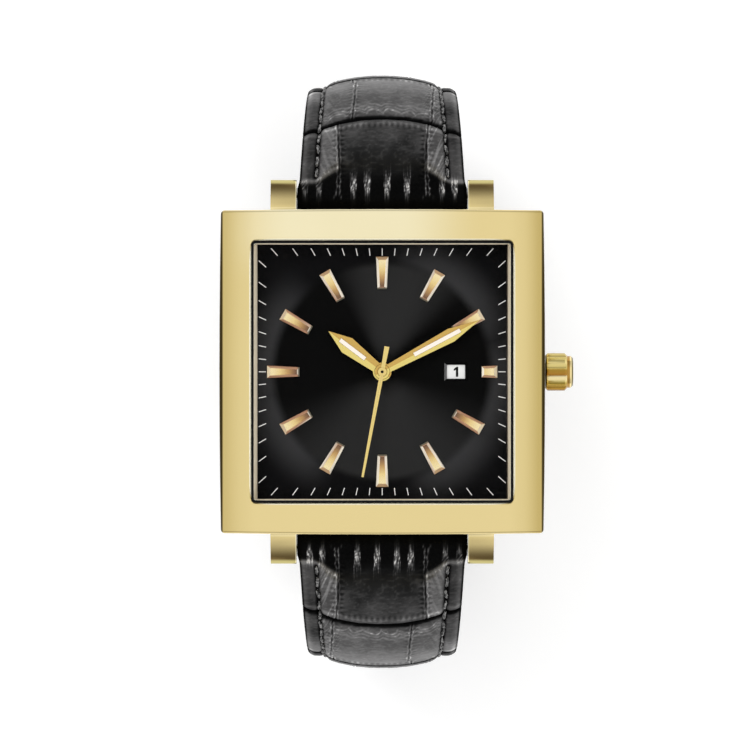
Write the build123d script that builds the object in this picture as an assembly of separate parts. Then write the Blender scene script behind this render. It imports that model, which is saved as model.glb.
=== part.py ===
from build123d import *
import os
from math import ceil, cos, degrees, pi, radians, sin

# A square wristwatch, buckled, dial up. The origin is on the wrist face of the case back, under
# the hands' centre. +X points to 3 o'clock, +Y to 12 o'clock and +Z out of the dial.

# Clearances shared by the pieces
snug_gap = 0.02
running_gap = 0.05
cut_over = 1.0

# Case middle
case_side = 41.0
case_bow = 0.2
case_corner_r = 0.5
case_under_z = 0.6
case_top_z = 7.4
case_edge_chamfer = 0.35
case_wall = 3.2
dial_pocket_corner_r = 1.2
dial_ledge_z = 5.5
dial_ledge_width = 1.1

# Lugs
strap_space = 22.0
lug_width = 3.3
lug_reach = 3.9
lug_root_top_z = 6.5
lug_root_low_z = 1.2
lug_tip_top_z = 3.7
lug_tip_low_z = 1.3
lug_tip_r = 0.9
lug_bulge = 0.7
lug_bury = 1.0

# Bezel
bezel_overhang = 0.25
bezel_bow = 0.2
bezel_corner_r = 0.5
bezel_top_z = 9.6
bezel_edge_r = 0.45
bezel_strip_width = 3.9
bezel_opening_corner_r = 0.75
bezel_inner_chamfer = 0.15
bezel_ledge_width = 0.28

# Crystal and its gasket
gasket_wall = 0.3
gasket_recess = 0.15
crystal_thickness = 1.3
crystal_proud = 0.06
crystal_edge_chamfer = 0.1

# Inner flange round the dial
flange_slope_x = 0.88
flange_slope_y = 0.6
flange_top_lip = 0.05

# Dial and date window
dial_thickness = 0.4
dial_corner_share = 0.75
dial_hole_r = 0.9
window_from_mark = 3.29
window_x = 2.33
window_y = 1.78
window_top_x = 3.0
window_top_y = 2.3

# Hour marks
hours_on_dial = 12
short_mark_hour = 3
mark_from_flange = 1.25
mark_length = 4.14
short_mark_length = 1.98
mark_inner_width = 1.19
mark_outer_width = 1.59
mark_wall = 0.22
mark_height = 0.5
mark_side_bevel = 0.32
mark_outer_bevel = 0.4
mark_inner_bevel = 0.3

# Case back, its gasket and screws
back_margin = 2.1
back_corner_r = 1.6
back_thickness = 1.6
back_lip_height = 0.35
back_edge_chamfer = 0.3
back_seal_width = 0.6
screw_from_edge = 2.0
screw_head_r = 0.8
screw_head_height = 0.5
screw_shank_r = 0.45
screw_length = 3.0

# Movement, its holder and battery
holder_wall = 3.2
movement_low_z = 2.05
movement_top_z = 5.15
holder_top_gap = 0.06
battery_thickness = 2.05
battery_from_centre = 2.05
battery_from_rim = 1.45
stem_pocket_length = 3.6
stem_pocket_width = 2.2
stem_pocket_depth = 1.9
arbor_bore_z = 2.9

# Date wheel
date_low_z = 5.22
date_thickness = 0.2
date_ring_width = 3.5
date_tooth_count = 31
date_tooth_depth = 0.3
tooth_corner_shares = ((0, 0), (0.45, 0), (0.6, 1), (0.85, 1))

# Hand arbors
second_arbor_r = 0.16
second_arbor_low_z = 3.1
minute_pipe_r = 0.45
minute_pipe_low_z = 3.6
hour_pipe_r = 0.74
hour_pipe_low_z = 4.2

# Hands, lengths from the centre, times read from the dial
hour_angle = 307.1
hour_low_z = 6.65
hour_tip_from_mark = 1.94
hour_wide_share = 0.6516
hour_wide = 2.24
hour_neck = 1.15
hour_boss_r = 1.18
hour_lume_shares = (0.3137, 0.7847)
minute_angle = 62.0
minute_low_z = 7.15
minute_tip_from_mark_end = 0.62
minute_wide_share = 0.7092
minute_wide = 1.80
minute_neck = 0.95
minute_boss_r = 0.9
minute_lume_shares = (0.3262, 0.8014)
lume_width = 0.56
lume_proud = 0.03
hand_thickness = 0.34
hand_slope = 7.5
second_angle = 190.6
second_low_z = 7.62
second_tip_from_mark_end = 1.05
second_tail = 3.28
second_thickness = 0.22
second_tip_width = 0.3
second_root_width = 0.55
second_waist_width = 0.45
second_tail_width = 0.65
second_boss_r = 0.54
second_boss_height = 0.34

# Crown, stem, tube and setting lever
crown_z = 4.2
crown_gap = 0.15
crown_r = 2.45
crown_length = 2.82
crown_chamfer = 0.35
crown_flute_count = 10
crown_flute_r = 0.55
crown_flute_depth = 0.22
crown_cap_r = 2.05
crown_cap_length = 0.72
crown_cap_chamfer = 0.25
crown_recess_r = 1.5
crown_recess_depth = 1.9
crown_pull = 1.2
tube_r = 1.25
tube_in_case = 3.3
tube_proud = 1.7
stem_r = 0.45
stem_in_movement = 3.6
stem_in_crown = 0.55
stem_groove_from_end = 0.7
stem_groove_length = 0.5
stem_groove_r = 0.26
lever_width = 1.5
lever_low_z = 3.6
crown_seal_r_wall = 0.15
crown_seal_length = 0.5
crown_seal_inset = 0.1

# Spring bars at the lugs
bar_r = 0.9
bar_tip_r = 0.42
bar_tip_reach = 0.95
bar_from_tip = 1.9
bar_z = 2.6

# Strap, one route for each side: a short run, then three tangent arcs to the flat
strap_width_lug = 21.4
strap_width_end = 18.0
strap_taper_length = 36.0
strap_end_thickness = 3.4
strap_end_fade_length = 12.5
strap_thickness = 2.4
strap_low_thickness = 2.2
tail_thickness = 2.0
strap_edge_round = 0.45
stitch_inset = 2.1
crown_rise = 1.55
crown_rise_least = 0.06
flat_zone_length = 2.6
shoulder_length = 2.0
route_start_angle = 12.0
route_run = 3.4
route_shoulder_r = 12.5
route_side_r = 25.0
route_side_turn = 50.0
route_low_r = 14.0
top_rise_fades_from = 22.0
top_rise_fades_to = 32.0
bottom_rise_fades_from = 32.0
bottom_rise_fades_to = 44.0
layer_pitch = 2.5
section_turn = 12.0
section_gap = 0.9
buckle_bar_y = -3.2
strap_eye_r = 1.35
tail_past_flat = 19.0
tail_point_length = 8.0
tail_point_width = 5.0
tail_point_shares = (0, 0.45, 0.75, 0.92)
hole_pitch = 6.0
hole_count_before = 3
hole_count_after = 3
hole_r = 1.25

# Buckle
buckle_bar_r = 0.75
buckle_bar_tip_r = 0.45
buckle_bar_tip_reach = 0.9
buckle_side_gap = 0.45
buckle_arm_width = 1.7
buckle_front_from_bar = 9.0
buckle_front_width = 2.6
buckle_front_gap = 0.2
buckle_front_thickness = 1.7
buckle_eye_r = 1.35
tang_width = 1.5
tang_eye_r = 1.3
tang_thickness = 0.95
tang_knee_from_bar = 2.95
tang_tip_past = 0.9
tang_notch_gap = 0.12
tang_slot_gap = 0.3
tang_hole_from_bar = 1.9

# Keepers
keeper_width = 4.5
keeper_low_gap = 0.3
keeper_top_gap = 0.25
keeper_side_gap = 0.35
keeper_top_wall = 1.2
keeper_side_wall = 1.3
keeper_corner_cut = 0.5
fixed_keeper_from_bar = 2.7
sliding_keeper_from_fixed = 2.0

# Heights and places that follow from the sizes above
case_half = case_side / 2
dial_pocket_side = case_side - 2 * case_wall
movement_bore_r = dial_pocket_side / 2 - dial_ledge_width
bezel_side = case_side + 2 * bezel_overhang
bezel_half = bezel_side / 2
bezel_opening_side = bezel_side - 2 * bezel_strip_width
lug_tip_y = bezel_half + lug_reach
bar_y = lug_tip_y - bar_from_tip
opening_wall_side = bezel_opening_side - 2 * bezel_inner_chamfer
gasket_side = opening_wall_side - 2 * snug_gap
crystal_side = gasket_side - 2 * gasket_wall - 2 * snug_gap
crystal_corner_r = bezel_opening_corner_r - bezel_inner_chamfer - gasket_wall
crystal_top_z = bezel_top_z + crystal_proud
crystal_low_z = crystal_top_z - crystal_thickness
bezel_ledge_side = opening_wall_side - 2 * bezel_ledge_width
flange_side = bezel_ledge_side - 2 * snug_gap
flange_top_side = crystal_side - 2 * flange_top_lip
dial_low_z = dial_ledge_z + running_gap
dial_top_z = dial_low_z + dial_thickness
flange_low_x = bezel_opening_side - 2 * flange_slope_x
flange_low_y = bezel_opening_side - 2 * flange_slope_y
mark_outer_r = flange_low_x / 2 - mark_from_flange
mark_inner_r = mark_outer_r - mark_length
short_mark_inner_r = mark_outer_r - short_mark_length
window_centre_x = short_mark_inner_r - window_from_mark
date_inner_r = window_centre_x - date_ring_width / 2
date_outer_r = window_centre_x + date_ring_width / 2
hour_tip = mark_inner_r - hour_tip_from_mark
minute_tip = mark_outer_r - minute_tip_from_mark_end
second_tip = mark_outer_r - second_tip_from_mark_end
back_side = case_side - 2 * back_margin
back_lip_r = movement_bore_r - back_seal_width
screw_offset = back_side / 2 - screw_from_edge
movement_r = movement_bore_r - holder_wall
battery_r = (movement_r - battery_from_rim - battery_from_centre) / 2
battery_y = -battery_from_centre - battery_r
stem_inner_x = movement_r - stem_in_movement
stem_groove_x = stem_inner_x + stem_groove_from_end
tube_inner_x = case_half - tube_in_case

os.makedirs("parts", exist_ok=True)


def keep(shape, node):
    """Writes one piece under its node's name."""
    export_step(shape, "parts/" + node + ".step")


def bowed_square(side, bow, corner_r):
    """A square outline whose sides stand out a little at their middles."""
    half, mid = side / 2 - bow, side / 2
    corners = [(half, -half), (half, half), (-half, half), (-half, -half)]
    middles = [(mid, 0), (0, mid), (-mid, 0), (0, -mid)]
    arcs = []
    for index, middle in enumerate(middles):
        arcs.append(ThreePointArc(corners[index], middle, corners[(index + 1) % len(corners)]))
    face = make_face(Curve() + arcs)
    return fillet(face.vertices(), corner_r)


def square_block(side_x, side_y, corner_r, low_z, top_z):
    """A block with rounded upright corners, between two heights."""
    return Pos(0, 0, low_z) * extrude(RectangleRounded(side_x, side_y, corner_r), top_z - low_z)


def disc(radius, low_z, top_z):
    """A round block between two heights on the hands' axis."""
    return Pos(0, 0, low_z) * extrude(Circle(radius), top_z - low_z)


def rod_x(radius, from_x, to_x, y, z):
    """A round rod along X between two places."""
    return Plane(origin=(from_x, y, z), z_dir=(1, 0, 0)) * extrude(Circle(radius), to_x - from_x)


def side_slab(profile, from_x, to_x):
    """A Y-Z outline made into a slab between two X places."""
    plane = Plane(origin=(from_x, 0, 0), x_dir=(0, 1, 0), z_dir=(1, 0, 0))
    return plane * extrude(profile, to_x - from_x)


def lug():
    """One lug at 12 o'clock, right side, curving down to a rounded tip."""
    root_y = case_half - lug_bury
    middle = ((root_y + lug_tip_y) / 2, (lug_root_top_z + lug_tip_top_z) / 2 + lug_bulge)
    top = ThreePointArc((root_y, lug_root_top_z), middle, (lug_tip_y, lug_tip_top_z))
    rest = Polyline(
        (lug_tip_y, lug_tip_top_z), (lug_tip_y, lug_tip_low_z), (root_y, lug_root_low_z), (root_y, lug_root_top_z)
    )
    face = make_face(Curve() + [top, rest])
    tip = face.vertices().sort_by(Axis.X)[-2:].sort_by(Axis.Y)[-1]
    face = fillet(tip, lug_tip_r)
    solid = side_slab(face, strap_space / 2, strap_space / 2 + lug_width)
    hole = rod_x(bar_tip_r + running_gap, 0, strap_space / 2 + bar_tip_reach + running_gap, bar_y, bar_z)
    return solid - hole


def case_middle():
    """The case with its four lugs, movement bore, dial pocket, back recess and crown hole."""
    height = case_top_z - case_under_z
    body = Pos(0, 0, case_under_z) * extrude(bowed_square(case_side, case_bow, case_corner_r), height)
    body = chamfer(body.edges().group_by(Axis.Z)[0], case_edge_chamfer)
    quarter = lug()
    for mirrored in (quarter, mirror(quarter, Plane.YZ)):
        body += mirrored
        body += mirror(mirrored, Plane.XZ)
    body -= square_block(dial_pocket_side, dial_pocket_side, dial_pocket_corner_r, dial_ledge_z, case_top_z + cut_over)
    body -= disc(movement_bore_r, 0, case_top_z)
    recess_side = back_side + 2 * running_gap
    body -= square_block(recess_side, recess_side, back_corner_r, -cut_over, back_thickness)
    for place in screw_places():
        body -= place * disc(screw_shank_r + running_gap, 0, screw_length + running_gap)
    return body - rod_x(tube_r + snug_gap, 0, case_side, 0, crown_z)


def screw_places():
    """The four corners of the case back where its screws stand."""
    return GridLocations(2 * screw_offset, 2 * screw_offset, 2, 2)


def bezel():
    """The square bezel, with rounded outer edges and a ledge for the crystal's gasket."""
    height = bezel_top_z - case_top_z
    body = Pos(0, 0, case_top_z) * extrude(bowed_square(bezel_side, bezel_bow, bezel_corner_r), height)
    body = fillet(body.edges().group_by(Axis.Z)[-1], bezel_edge_r)
    wall_r = bezel_opening_corner_r - bezel_inner_chamfer
    opening = square_block(opening_wall_side, opening_wall_side, wall_r, gasket_low_z(), bezel_top_z + cut_over)
    body -= opening
    body -= square_block(bezel_ledge_side, bezel_ledge_side, wall_r, 0, bezel_top_z)
    rim = [edge for edge in body.edges().group_by(Axis.Z)[-1] if within_square(edge, bezel_opening_side)]
    return chamfer(rim, bezel_inner_chamfer)


def within_square(edge, side):
    """Whether an edge's middle lies inside a square round the axis."""
    middle = edge @ 0.5
    return abs(middle.X) <= side / 2 and abs(middle.Y) <= side / 2


def gasket_low_z():
    """The ledge on which the crystal's gasket sits, level with the crystal's underside."""
    return crystal_low_z - snug_gap


def crystal_gasket():
    """The black ring pressed between bezel and crystal."""
    outer_r = bezel_opening_corner_r - bezel_inner_chamfer - snug_gap
    ring = square_block(gasket_side, gasket_side, outer_r, gasket_low_z() + snug_gap, bezel_top_z - gasket_recess)
    inner_side = gasket_side - 2 * gasket_wall
    return ring - square_block(inner_side, inner_side, outer_r - gasket_wall, 0, crystal_top_z)


def crystal():
    """The flat crystal, its top edge softly bevelled."""
    body = square_block(crystal_side, crystal_side, crystal_corner_r, crystal_low_z, crystal_top_z)
    return chamfer(body.edges().group_by(Axis.Z)[-1], crystal_edge_chamfer)


def inner_flange():
    """The ring that slopes from the crystal down to the dial."""
    low_z, top_z = dial_top_z + snug_gap, crystal_low_z - snug_gap
    wall_r = bezel_opening_corner_r - bezel_inner_chamfer
    ring = square_block(flange_side, flange_side, wall_r, low_z, top_z)
    low = Pos(0, 0, low_z) * Rectangle(flange_low_x, flange_low_y)
    top = Pos(0, 0, top_z) * Rectangle(flange_top_side, flange_top_side)
    return ring - loft([low.face(), top.face()], ruled=True)


def dial():
    """The dial plate with the hands' hole and the bevelled date window."""
    side = dial_pocket_side - 2 * running_gap
    outline = chamfer(Rectangle(side, side).vertices(), dial_corner_share * dial_pocket_corner_r)
    plate = Pos(0, 0, dial_low_z) * extrude(outline, dial_thickness)
    plate -= disc(dial_hole_r, 0, case_top_z)
    low = Pos(window_centre_x, 0, dial_low_z) * Rectangle(window_x, window_y)
    top = Pos(window_centre_x, 0, dial_top_z) * Rectangle(window_top_x, window_top_y)
    return plate - loft([low.face(), top.face()], ruled=True)


def trapezium(inner_r, outer_r, inner_width, outer_width):
    """An outline along +Y that widens outwards."""
    return make_face(
        Polyline(
            (-inner_width / 2, inner_r),
            (inner_width / 2, inner_r),
            (outer_width / 2, outer_r),
            (-outer_width / 2, outer_r),
            close=True,
        )
    )


def hour_mark(inner_r):
    """One applied mark: upright walls and a bevelled top, at 12 o'clock."""
    growth = (mark_outer_width - mark_inner_width) / (mark_outer_r - mark_inner_r)
    start_width = mark_inner_width + growth * (inner_r - mark_inner_r)
    base = trapezium(inner_r, mark_outer_r, start_width, mark_outer_width)
    body = Pos(0, 0, dial_top_z) * extrude(base, mark_wall)
    crest = trapezium(
        inner_r + mark_inner_bevel,
        mark_outer_r - mark_outer_bevel,
        start_width - 2 * mark_side_bevel,
        mark_outer_width - 2 * mark_side_bevel,
    )
    low = Pos(0, 0, dial_top_z + mark_wall) * base
    top = Pos(0, 0, dial_top_z + mark_height) * crest
    return body + loft([low.face(), top.face()], ruled=True)


def hour_marks():
    """Twelve separate marks, the one beside the date window cut short."""
    marks = []
    for hour in range(hours_on_dial):
        inner_r = short_mark_inner_r if hour == short_mark_hour else mark_inner_r
        marks.append(Rot(0, 0, -360 * hour / hours_on_dial) * hour_mark(inner_r))
    return Compound(children=marks)


def case_back():
    """The back plate, with a raised round lip inside and four countersunk places."""
    plate = square_block(back_side, back_side, back_corner_r, 0, back_thickness - running_gap)
    plate = chamfer(plate.edges().group_by(Axis.Z)[0], back_edge_chamfer)
    plate += disc(back_lip_r, back_thickness / 2, back_thickness + back_lip_height)
    for place in screw_places():
        plate -= place * sunk_head(running_gap)
        plate -= place * disc(screw_shank_r + running_gap, 0, back_thickness)
    return plate


def sunk_head(gap):
    """A screw's tapered head, or with a gap the countersink that it fits."""
    head = Cone(screw_head_r + gap, screw_shank_r + gap, screw_head_height)
    return Pos(0, 0, screw_head_height / 2) * head


def case_back_screws():
    """Four countersunk screws, heads flush with the back."""
    screws = []
    for place in screw_places():
        screws.append(place * (sunk_head(0) + disc(screw_shank_r, 0, screw_length)))
    return Compound(children=screws)


def case_back_gasket():
    """The sealing ring round the back's lip, squeezed in the case's bore."""
    ring = disc(movement_bore_r - snug_gap, back_thickness - running_gap, back_thickness + back_lip_height)
    return ring - disc(back_lip_r + snug_gap, 0, case_top_z)


def movement():
    """The movement module, with battery well, centre bore, stem bore and lever pocket."""
    body = disc(movement_r, movement_low_z, movement_top_z)
    body -= Pos(0, battery_y, 0) * disc(battery_r + running_gap, 0, movement_low_z + battery_thickness + running_gap)
    body -= disc(hour_pipe_r + running_gap, arbor_bore_z, case_top_z)
    pocket = Pos(stem_pocket_x(), 0, movement_top_z) * Box(stem_pocket_length, stem_pocket_width, 2 * stem_pocket_depth)
    return body - pocket - rod_x(stem_r + running_gap, stem_inner_x - running_gap, case_side, 0, crown_z)


def stem_pocket_x():
    """The pocket's middle: the lever's travel with equal room at both ends."""
    return stem_groove_x + stem_groove_length / 2 + crown_pull / 2


def movement_holder():
    """The plastic ring that centres the movement in the case."""
    low_z, top_z = movement_low_z, dial_low_z - holder_top_gap
    ring = disc(movement_bore_r - running_gap, low_z, top_z) - disc(movement_r + running_gap, 0, case_top_z)
    notch_low = crown_z - tube_r - running_gap
    notch_height = case_top_z - notch_low
    notch = Box(case_side, 2 * (tube_r + running_gap), notch_height)
    return ring - Pos(case_half, 0, notch_low + notch_height / 2) * notch


def battery():
    """The round cell in its well."""
    return Pos(0, battery_y, 0) * disc(battery_r, movement_low_z, movement_low_z + battery_thickness)


def date_wheel():
    """The date ring, with inner teeth, one for each day."""
    points = []
    for tooth in range(date_tooth_count):
        for share, reach in tooth_corner_shares:
            angle = 2 * pi * (tooth + share) / date_tooth_count
            radius = date_inner_r - reach * date_tooth_depth
            points.append((radius * cos(angle), radius * sin(angle)))
    ring = Circle(date_outer_r) - make_face(Polyline(*points, close=True))
    return Pos(0, 0, date_low_z) * extrude(ring, date_thickness)


def pipe(outer_r, inner_r, low_z, top_z):
    """A thin pipe on the hands' axis."""
    body = disc(outer_r, low_z, top_z)
    return body - disc(inner_r, 0, top_z + cut_over) if inner_r else body


def roof(length):
    """A long ridge whose two slopes fold a hand along its middle."""
    drop_x = max(hour_wide, minute_wide)
    drop_z = drop_x * sin(radians(hand_slope))
    outline = Polyline(
        (-drop_x, -cut_over), (drop_x, -cut_over), (drop_x, hand_thickness - drop_z),
        (0, hand_thickness), (-drop_x, hand_thickness - drop_z), close=True,
    )
    return Plane(origin=(0, length, 0), x_dir=(1, 0, 0), z_dir=(0, -1, 0)) * extrude(make_face(outline), 2 * length)


def sword_hand(tip, wide_share, wide, neck, boss_r, lume_shares, bore_r):
    """A folded hand along +Y with a slot for its light inlay, and its boss."""
    wide_at = tip * wide_share
    lume_from, lume_to = tip * lume_shares[0], tip * lume_shares[1]
    outline = Polyline(
        (-neck / 2, 0), (neck / 2, 0), (wide / 2, wide_at), (0, tip), (-wide / 2, wide_at), close=True
    )
    blade = extrude(make_face(outline), hand_thickness) & roof(tip + boss_r)
    blade += disc(boss_r, 0, hand_thickness)
    slot_middle = (lume_from + lume_to) / 2
    blade -= Pos(0, slot_middle, 0) * Box(lume_width, lume_to - lume_from, 4 * hand_thickness)
    return blade - disc(bore_r, -cut_over, hand_thickness + cut_over)


def lume(tip, lume_shares):
    """The light inlay that fills a hand's slot."""
    lume_from, lume_to = tip * lume_shares[0], tip * lume_shares[1]
    size_x = lume_width - 2 * snug_gap
    size_y = lume_to - lume_from - 2 * snug_gap
    size_z = hand_thickness + lume_proud
    bar = Pos(0, (lume_from + lume_to) / 2, size_z / 2) * Box(size_x, size_y, size_z)
    return chamfer(bar.edges().group_by(Axis.Z)[-1], lume_proud)


def second_hand():
    """The thin hand, its counterweight tail and its boss."""
    outline = Polyline(
        (-second_tail_width / 2, -second_tail), (second_tail_width / 2, -second_tail),
        (second_waist_width / 2, 0), (second_root_width / 2, second_boss_r),
        (second_tip_width / 2, second_tip), (-second_tip_width / 2, second_tip),
        (-second_root_width / 2, second_boss_r), (-second_waist_width / 2, 0), close=True,
    )
    blade = extrude(make_face(outline), second_thickness)
    return blade + disc(second_boss_r, 0, second_boss_height) - disc(second_arbor_r + snug_gap, -cut_over, cut_over)


def crown():
    """The fluted crown with its stepped cap, bored for tube and stem."""
    start_x = bezel_half + crown_gap
    cap_x = start_x + crown_length
    body = rod_x(crown_r, start_x, cap_x, 0, crown_z)
    body = chamfer(body.edges().filter_by(GeomType.CIRCLE), crown_chamfer)
    for turn in range(crown_flute_count):
        angle = 2 * pi * turn / crown_flute_count
        reach = crown_r - crown_flute_depth + crown_flute_r
        y, z = reach * cos(angle), reach * sin(angle)
        body -= rod_x(crown_flute_r, 0, case_side, y, crown_z + z)
    cap = rod_x(crown_cap_r, cap_x, cap_x + crown_cap_length, 0, crown_z)
    body += chamfer(cap.edges().group_by(Axis.X)[-1], crown_cap_chamfer)
    body -= rod_x(crown_recess_r, 0, start_x + crown_recess_depth, 0, crown_z)
    return body - rod_x(stem_r + snug_gap, 0, stem_outer_x() + snug_gap, 0, crown_z)


def stem_outer_x():
    """Where the stem ends inside the crown."""
    return bezel_half + crown_gap + crown_recess_depth + stem_in_crown


def stem():
    """The stem, with the groove that the setting lever sits in."""
    body = rod_x(stem_r, stem_inner_x, stem_outer_x(), 0, crown_z)
    groove = rod_x(stem_r + snug_gap, stem_groove_x, stem_groove_x + stem_groove_length, 0, crown_z)
    return body - (groove - rod_x(stem_groove_r, 0, case_side, 0, crown_z))


def setting_lever():
    """A fork that straddles the stem's groove and travels with it."""
    thickness = stem_groove_length - 2 * running_gap
    top_z = movement_top_z - running_gap
    middle_x = stem_groove_x + stem_groove_length / 2
    fork = Pos(middle_x, 0, (lever_low_z + top_z) / 2) * Box(thickness, lever_width, top_z - lever_low_z)
    slot_r = stem_groove_r + running_gap
    fork -= rod_x(slot_r, 0, case_side, 0, crown_z)
    drop = crown_z - lever_low_z + cut_over
    return fork - Pos(middle_x, 0, crown_z - drop / 2) * Box(2 * thickness, 2 * slot_r, drop)


def crown_tube():
    """The tube pressed into the case, on which the crown slides."""
    end_x = bezel_half + tube_proud
    return rod_x(tube_r, tube_inner_x, end_x, 0, crown_z) - rod_x(stem_r + running_gap, 0, case_side, 0, crown_z)


def crown_seal():
    """The ring inside the crown that wipes the tube."""
    from_x = bezel_half + crown_gap + crown_seal_inset
    outer = tube_r + running_gap + crown_seal_r_wall
    ring = rod_x(outer, from_x, from_x + crown_seal_length, 0, crown_z)
    return ring - rod_x(tube_r + running_gap, 0, case_side, 0, crown_z)


def spring_bar(y, z, body_r, tip_r, body_length, tip_reach):
    """A sprung bar along X with a thinner tip at each end."""
    body = rod_x(body_r, -body_length / 2, body_length / 2, y, z)
    return body + rod_x(tip_r, -body_length / 2 - tip_reach, body_length / 2 + tip_reach, y, z)


def lug_spring_bars():
    """The two bars that hold the strap between the lugs."""
    length = strap_space - 2 * running_gap
    bars = [spring_bar(side * bar_y, bar_z, bar_r, bar_tip_r, length, bar_tip_reach) for side in (1, -1)]
    return Compound(children=bars)


def route_steps(side_r, extra):
    """A strap's route as (length, turn in degrees), bar to flat, and then what follows."""
    shoulder_turn = 90 - route_start_angle
    low_turn = 90 - route_side_turn
    steps = [(route_run, 0)]
    steps.append((route_shoulder_r * radians(shoulder_turn), shoulder_turn))
    steps.append((side_r * radians(route_side_turn), route_side_turn))
    steps.append((route_low_r * radians(low_turn), low_turn))
    return steps + extra


def route_length(steps):
    """The whole length of a route."""
    return sum(length for length, turn in steps)


def route_point(steps, distance):
    """Place and heading, in Y and Z for the 12 o'clock side, at a distance from the bar."""
    y, z, heading, left = bar_y, bar_z, route_start_angle, distance
    for length, turn in steps:
        part = min(left, length)
        if turn:
            radius = length / radians(turn)
            end = heading + degrees(part / radius)
            y += radius * (sin(radians(end)) - sin(radians(heading)))
            z -= radius * (cos(radians(heading)) - cos(radians(end)))
            heading = end
        else:
            y += part * cos(radians(heading))
            z -= part * sin(radians(heading))
        left -= part
        if left <= 0:
            break
    return y, z, heading


def route_plane(steps, distance, side):
    """The section plane there: local X is the watch's X, local Y points away from the wrist."""
    y, z, heading = route_point(steps, distance)
    back = (0, -side * cos(radians(heading)), sin(radians(heading)))
    across = (1, 0, 0) if side > 0 else (-1, 0, 0)
    return Plane(origin=(0, side * y, z), x_dir=across, z_dir=back)


def section(width, thickness, rise):
    """One strap section: flat lining, rounded edges, stitched margins and a padded crown."""
    half, low, top = width / 2, -thickness / 2, thickness / 2
    shoulder, inset = top - strap_edge_round, min(stitch_inset, width / 4)
    line = Polyline((-half, shoulder), (-half, low), (half, low), (half, shoulder), (half - inset, top))
    crest = ThreePointArc((half - inset, top), (0, top + rise), (-half + inset, top))
    close = Line((-half + inset, top), (-half, shoulder))
    return make_face(Curve() + [line, crest, close])


def ramp(value, start, end):
    """0 before start, 1 after end, and a smooth rise between."""
    share = max(0.0, min(1.0, (value - start) / (end - start)))
    return share * share * (3 - 2 * share)


def strap_width(distance):
    """The strap's width at a distance from its bar."""
    share = min(1.0, distance / strap_taper_length)
    return strap_width_lug + (strap_width_end - strap_width_lug) * share


def stations(steps, marks):
    """Distances for the sections: the marks, and even turns along each arc away from them."""
    found, start = [], 0
    for length, turn in steps:
        count = max(1, ceil(turn / section_turn))
        found += [start + length * step / count for step in range(1, count + 1)]
        start += length
    spare = [place for place in found if all(abs(place - mark) > section_gap for mark in marks)]
    return sorted(marks + spare)


def padded_rise(distance, fades_from, fades_to):
    """The height of the padding over the margins at a distance from the bar."""
    grown = ramp(distance, flat_zone_length, flat_zone_length + shoulder_length)
    faded = 1 - ramp(distance, fades_from, fades_to)
    return max(crown_rise_least, crown_rise * grown * faded)


def lofted(steps, side, marks, width_at, thickness_at, rise_at):
    """A strap half as one skin through its sections."""
    faces = []
    for distance in stations(steps, marks):
        face = section(width_at(distance), thickness_at(distance), rise_at(distance))
        faces.append((route_plane(steps, distance, side) * face).face())
    return loft(faces, ruled=True)


def top_route():
    """The route of the buckle half: to the flat, then along it to the buckle's bar."""
    bare = route_steps(route_side_r, [])
    flat_y = route_point(bare, route_length(bare))[0]
    return route_steps(route_side_r, [(flat_y - buckle_bar_y, 0)])


def flat_start_y():
    """Where the 12 o'clock side becomes flat, and the height of its middle there."""
    bare = route_steps(route_side_r, [])
    y, z, heading = route_point(bare, route_length(bare))
    return y, z


def bottom_side_r():
    """The side radius that brings the long half down to the outer layer."""
    return route_side_r + layer_pitch / cos(radians(90 - route_side_turn))


def bottom_route():
    """The route of the long half: to the flat, along it, and up outside the other half."""
    bare = route_steps(bottom_side_r(), [])
    own_y = route_point(bare, route_length(bare))[0]
    far_y = flat_start_y()[0]
    low_turn = 90 - route_side_turn
    low_r = route_low_r + layer_pitch
    low_length = low_r * radians(low_turn)
    side_left = tail_past_flat - low_length
    side_turn = degrees(side_left / (route_side_r + layer_pitch))
    extra = [(own_y + far_y, 0), (low_length, low_turn), (side_left, side_turn)]
    return route_steps(bottom_side_r(), extra)


def thickness_between(distance, end, later):
    """Full thickness at the bar, the strap's own after the shoulder, then thinner to the end."""
    thinned = ramp(distance, bar_r, strap_end_fade_length)
    first = strap_end_thickness + (strap_thickness - strap_end_thickness) * thinned
    return first + (later - strap_thickness) * ramp(distance, end / 2, end * 2 / 3)


def shoulder_marks():
    """Where the flat zone ends and the padding rises."""
    return [0, flat_zone_length, flat_zone_length + shoulder_length / 2, flat_zone_length + shoulder_length]


def strap_top():
    """The 12 o'clock half, ending in the eye round the buckle's bar."""
    steps = top_route()
    end = route_length(steps)
    marks = shoulder_marks() + [top_rise_fades_from, top_rise_fades_to, end]
    body = lofted(
        steps, 1, marks, strap_width,
        lambda distance: thickness_between(distance, end, strap_low_thickness),
        lambda distance: padded_rise(distance, top_rise_fades_from, top_rise_fades_to),
    )
    low_z = flat_start_y()[1]
    body += rod_x(strap_end_thickness / 2, -strap_width(0) / 2, strap_width(0) / 2, bar_y, bar_z)
    body += rod_x(strap_eye_r, -strap_width(end) / 2, strap_width(end) / 2, buckle_bar_y, low_z)
    body -= rod_x(bar_r + running_gap, -case_side, case_side, bar_y, bar_z)
    body -= rod_x(buckle_bar_r + running_gap, -case_side, case_side, buckle_bar_y, low_z)
    slot_x = tang_width + 2 * tang_slot_gap
    slot_y = 2 * (tang_eye_r + tang_slot_gap)
    return body - Pos(0, buckle_bar_y, low_z) * Box(slot_x, slot_y, slot_y)


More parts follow.
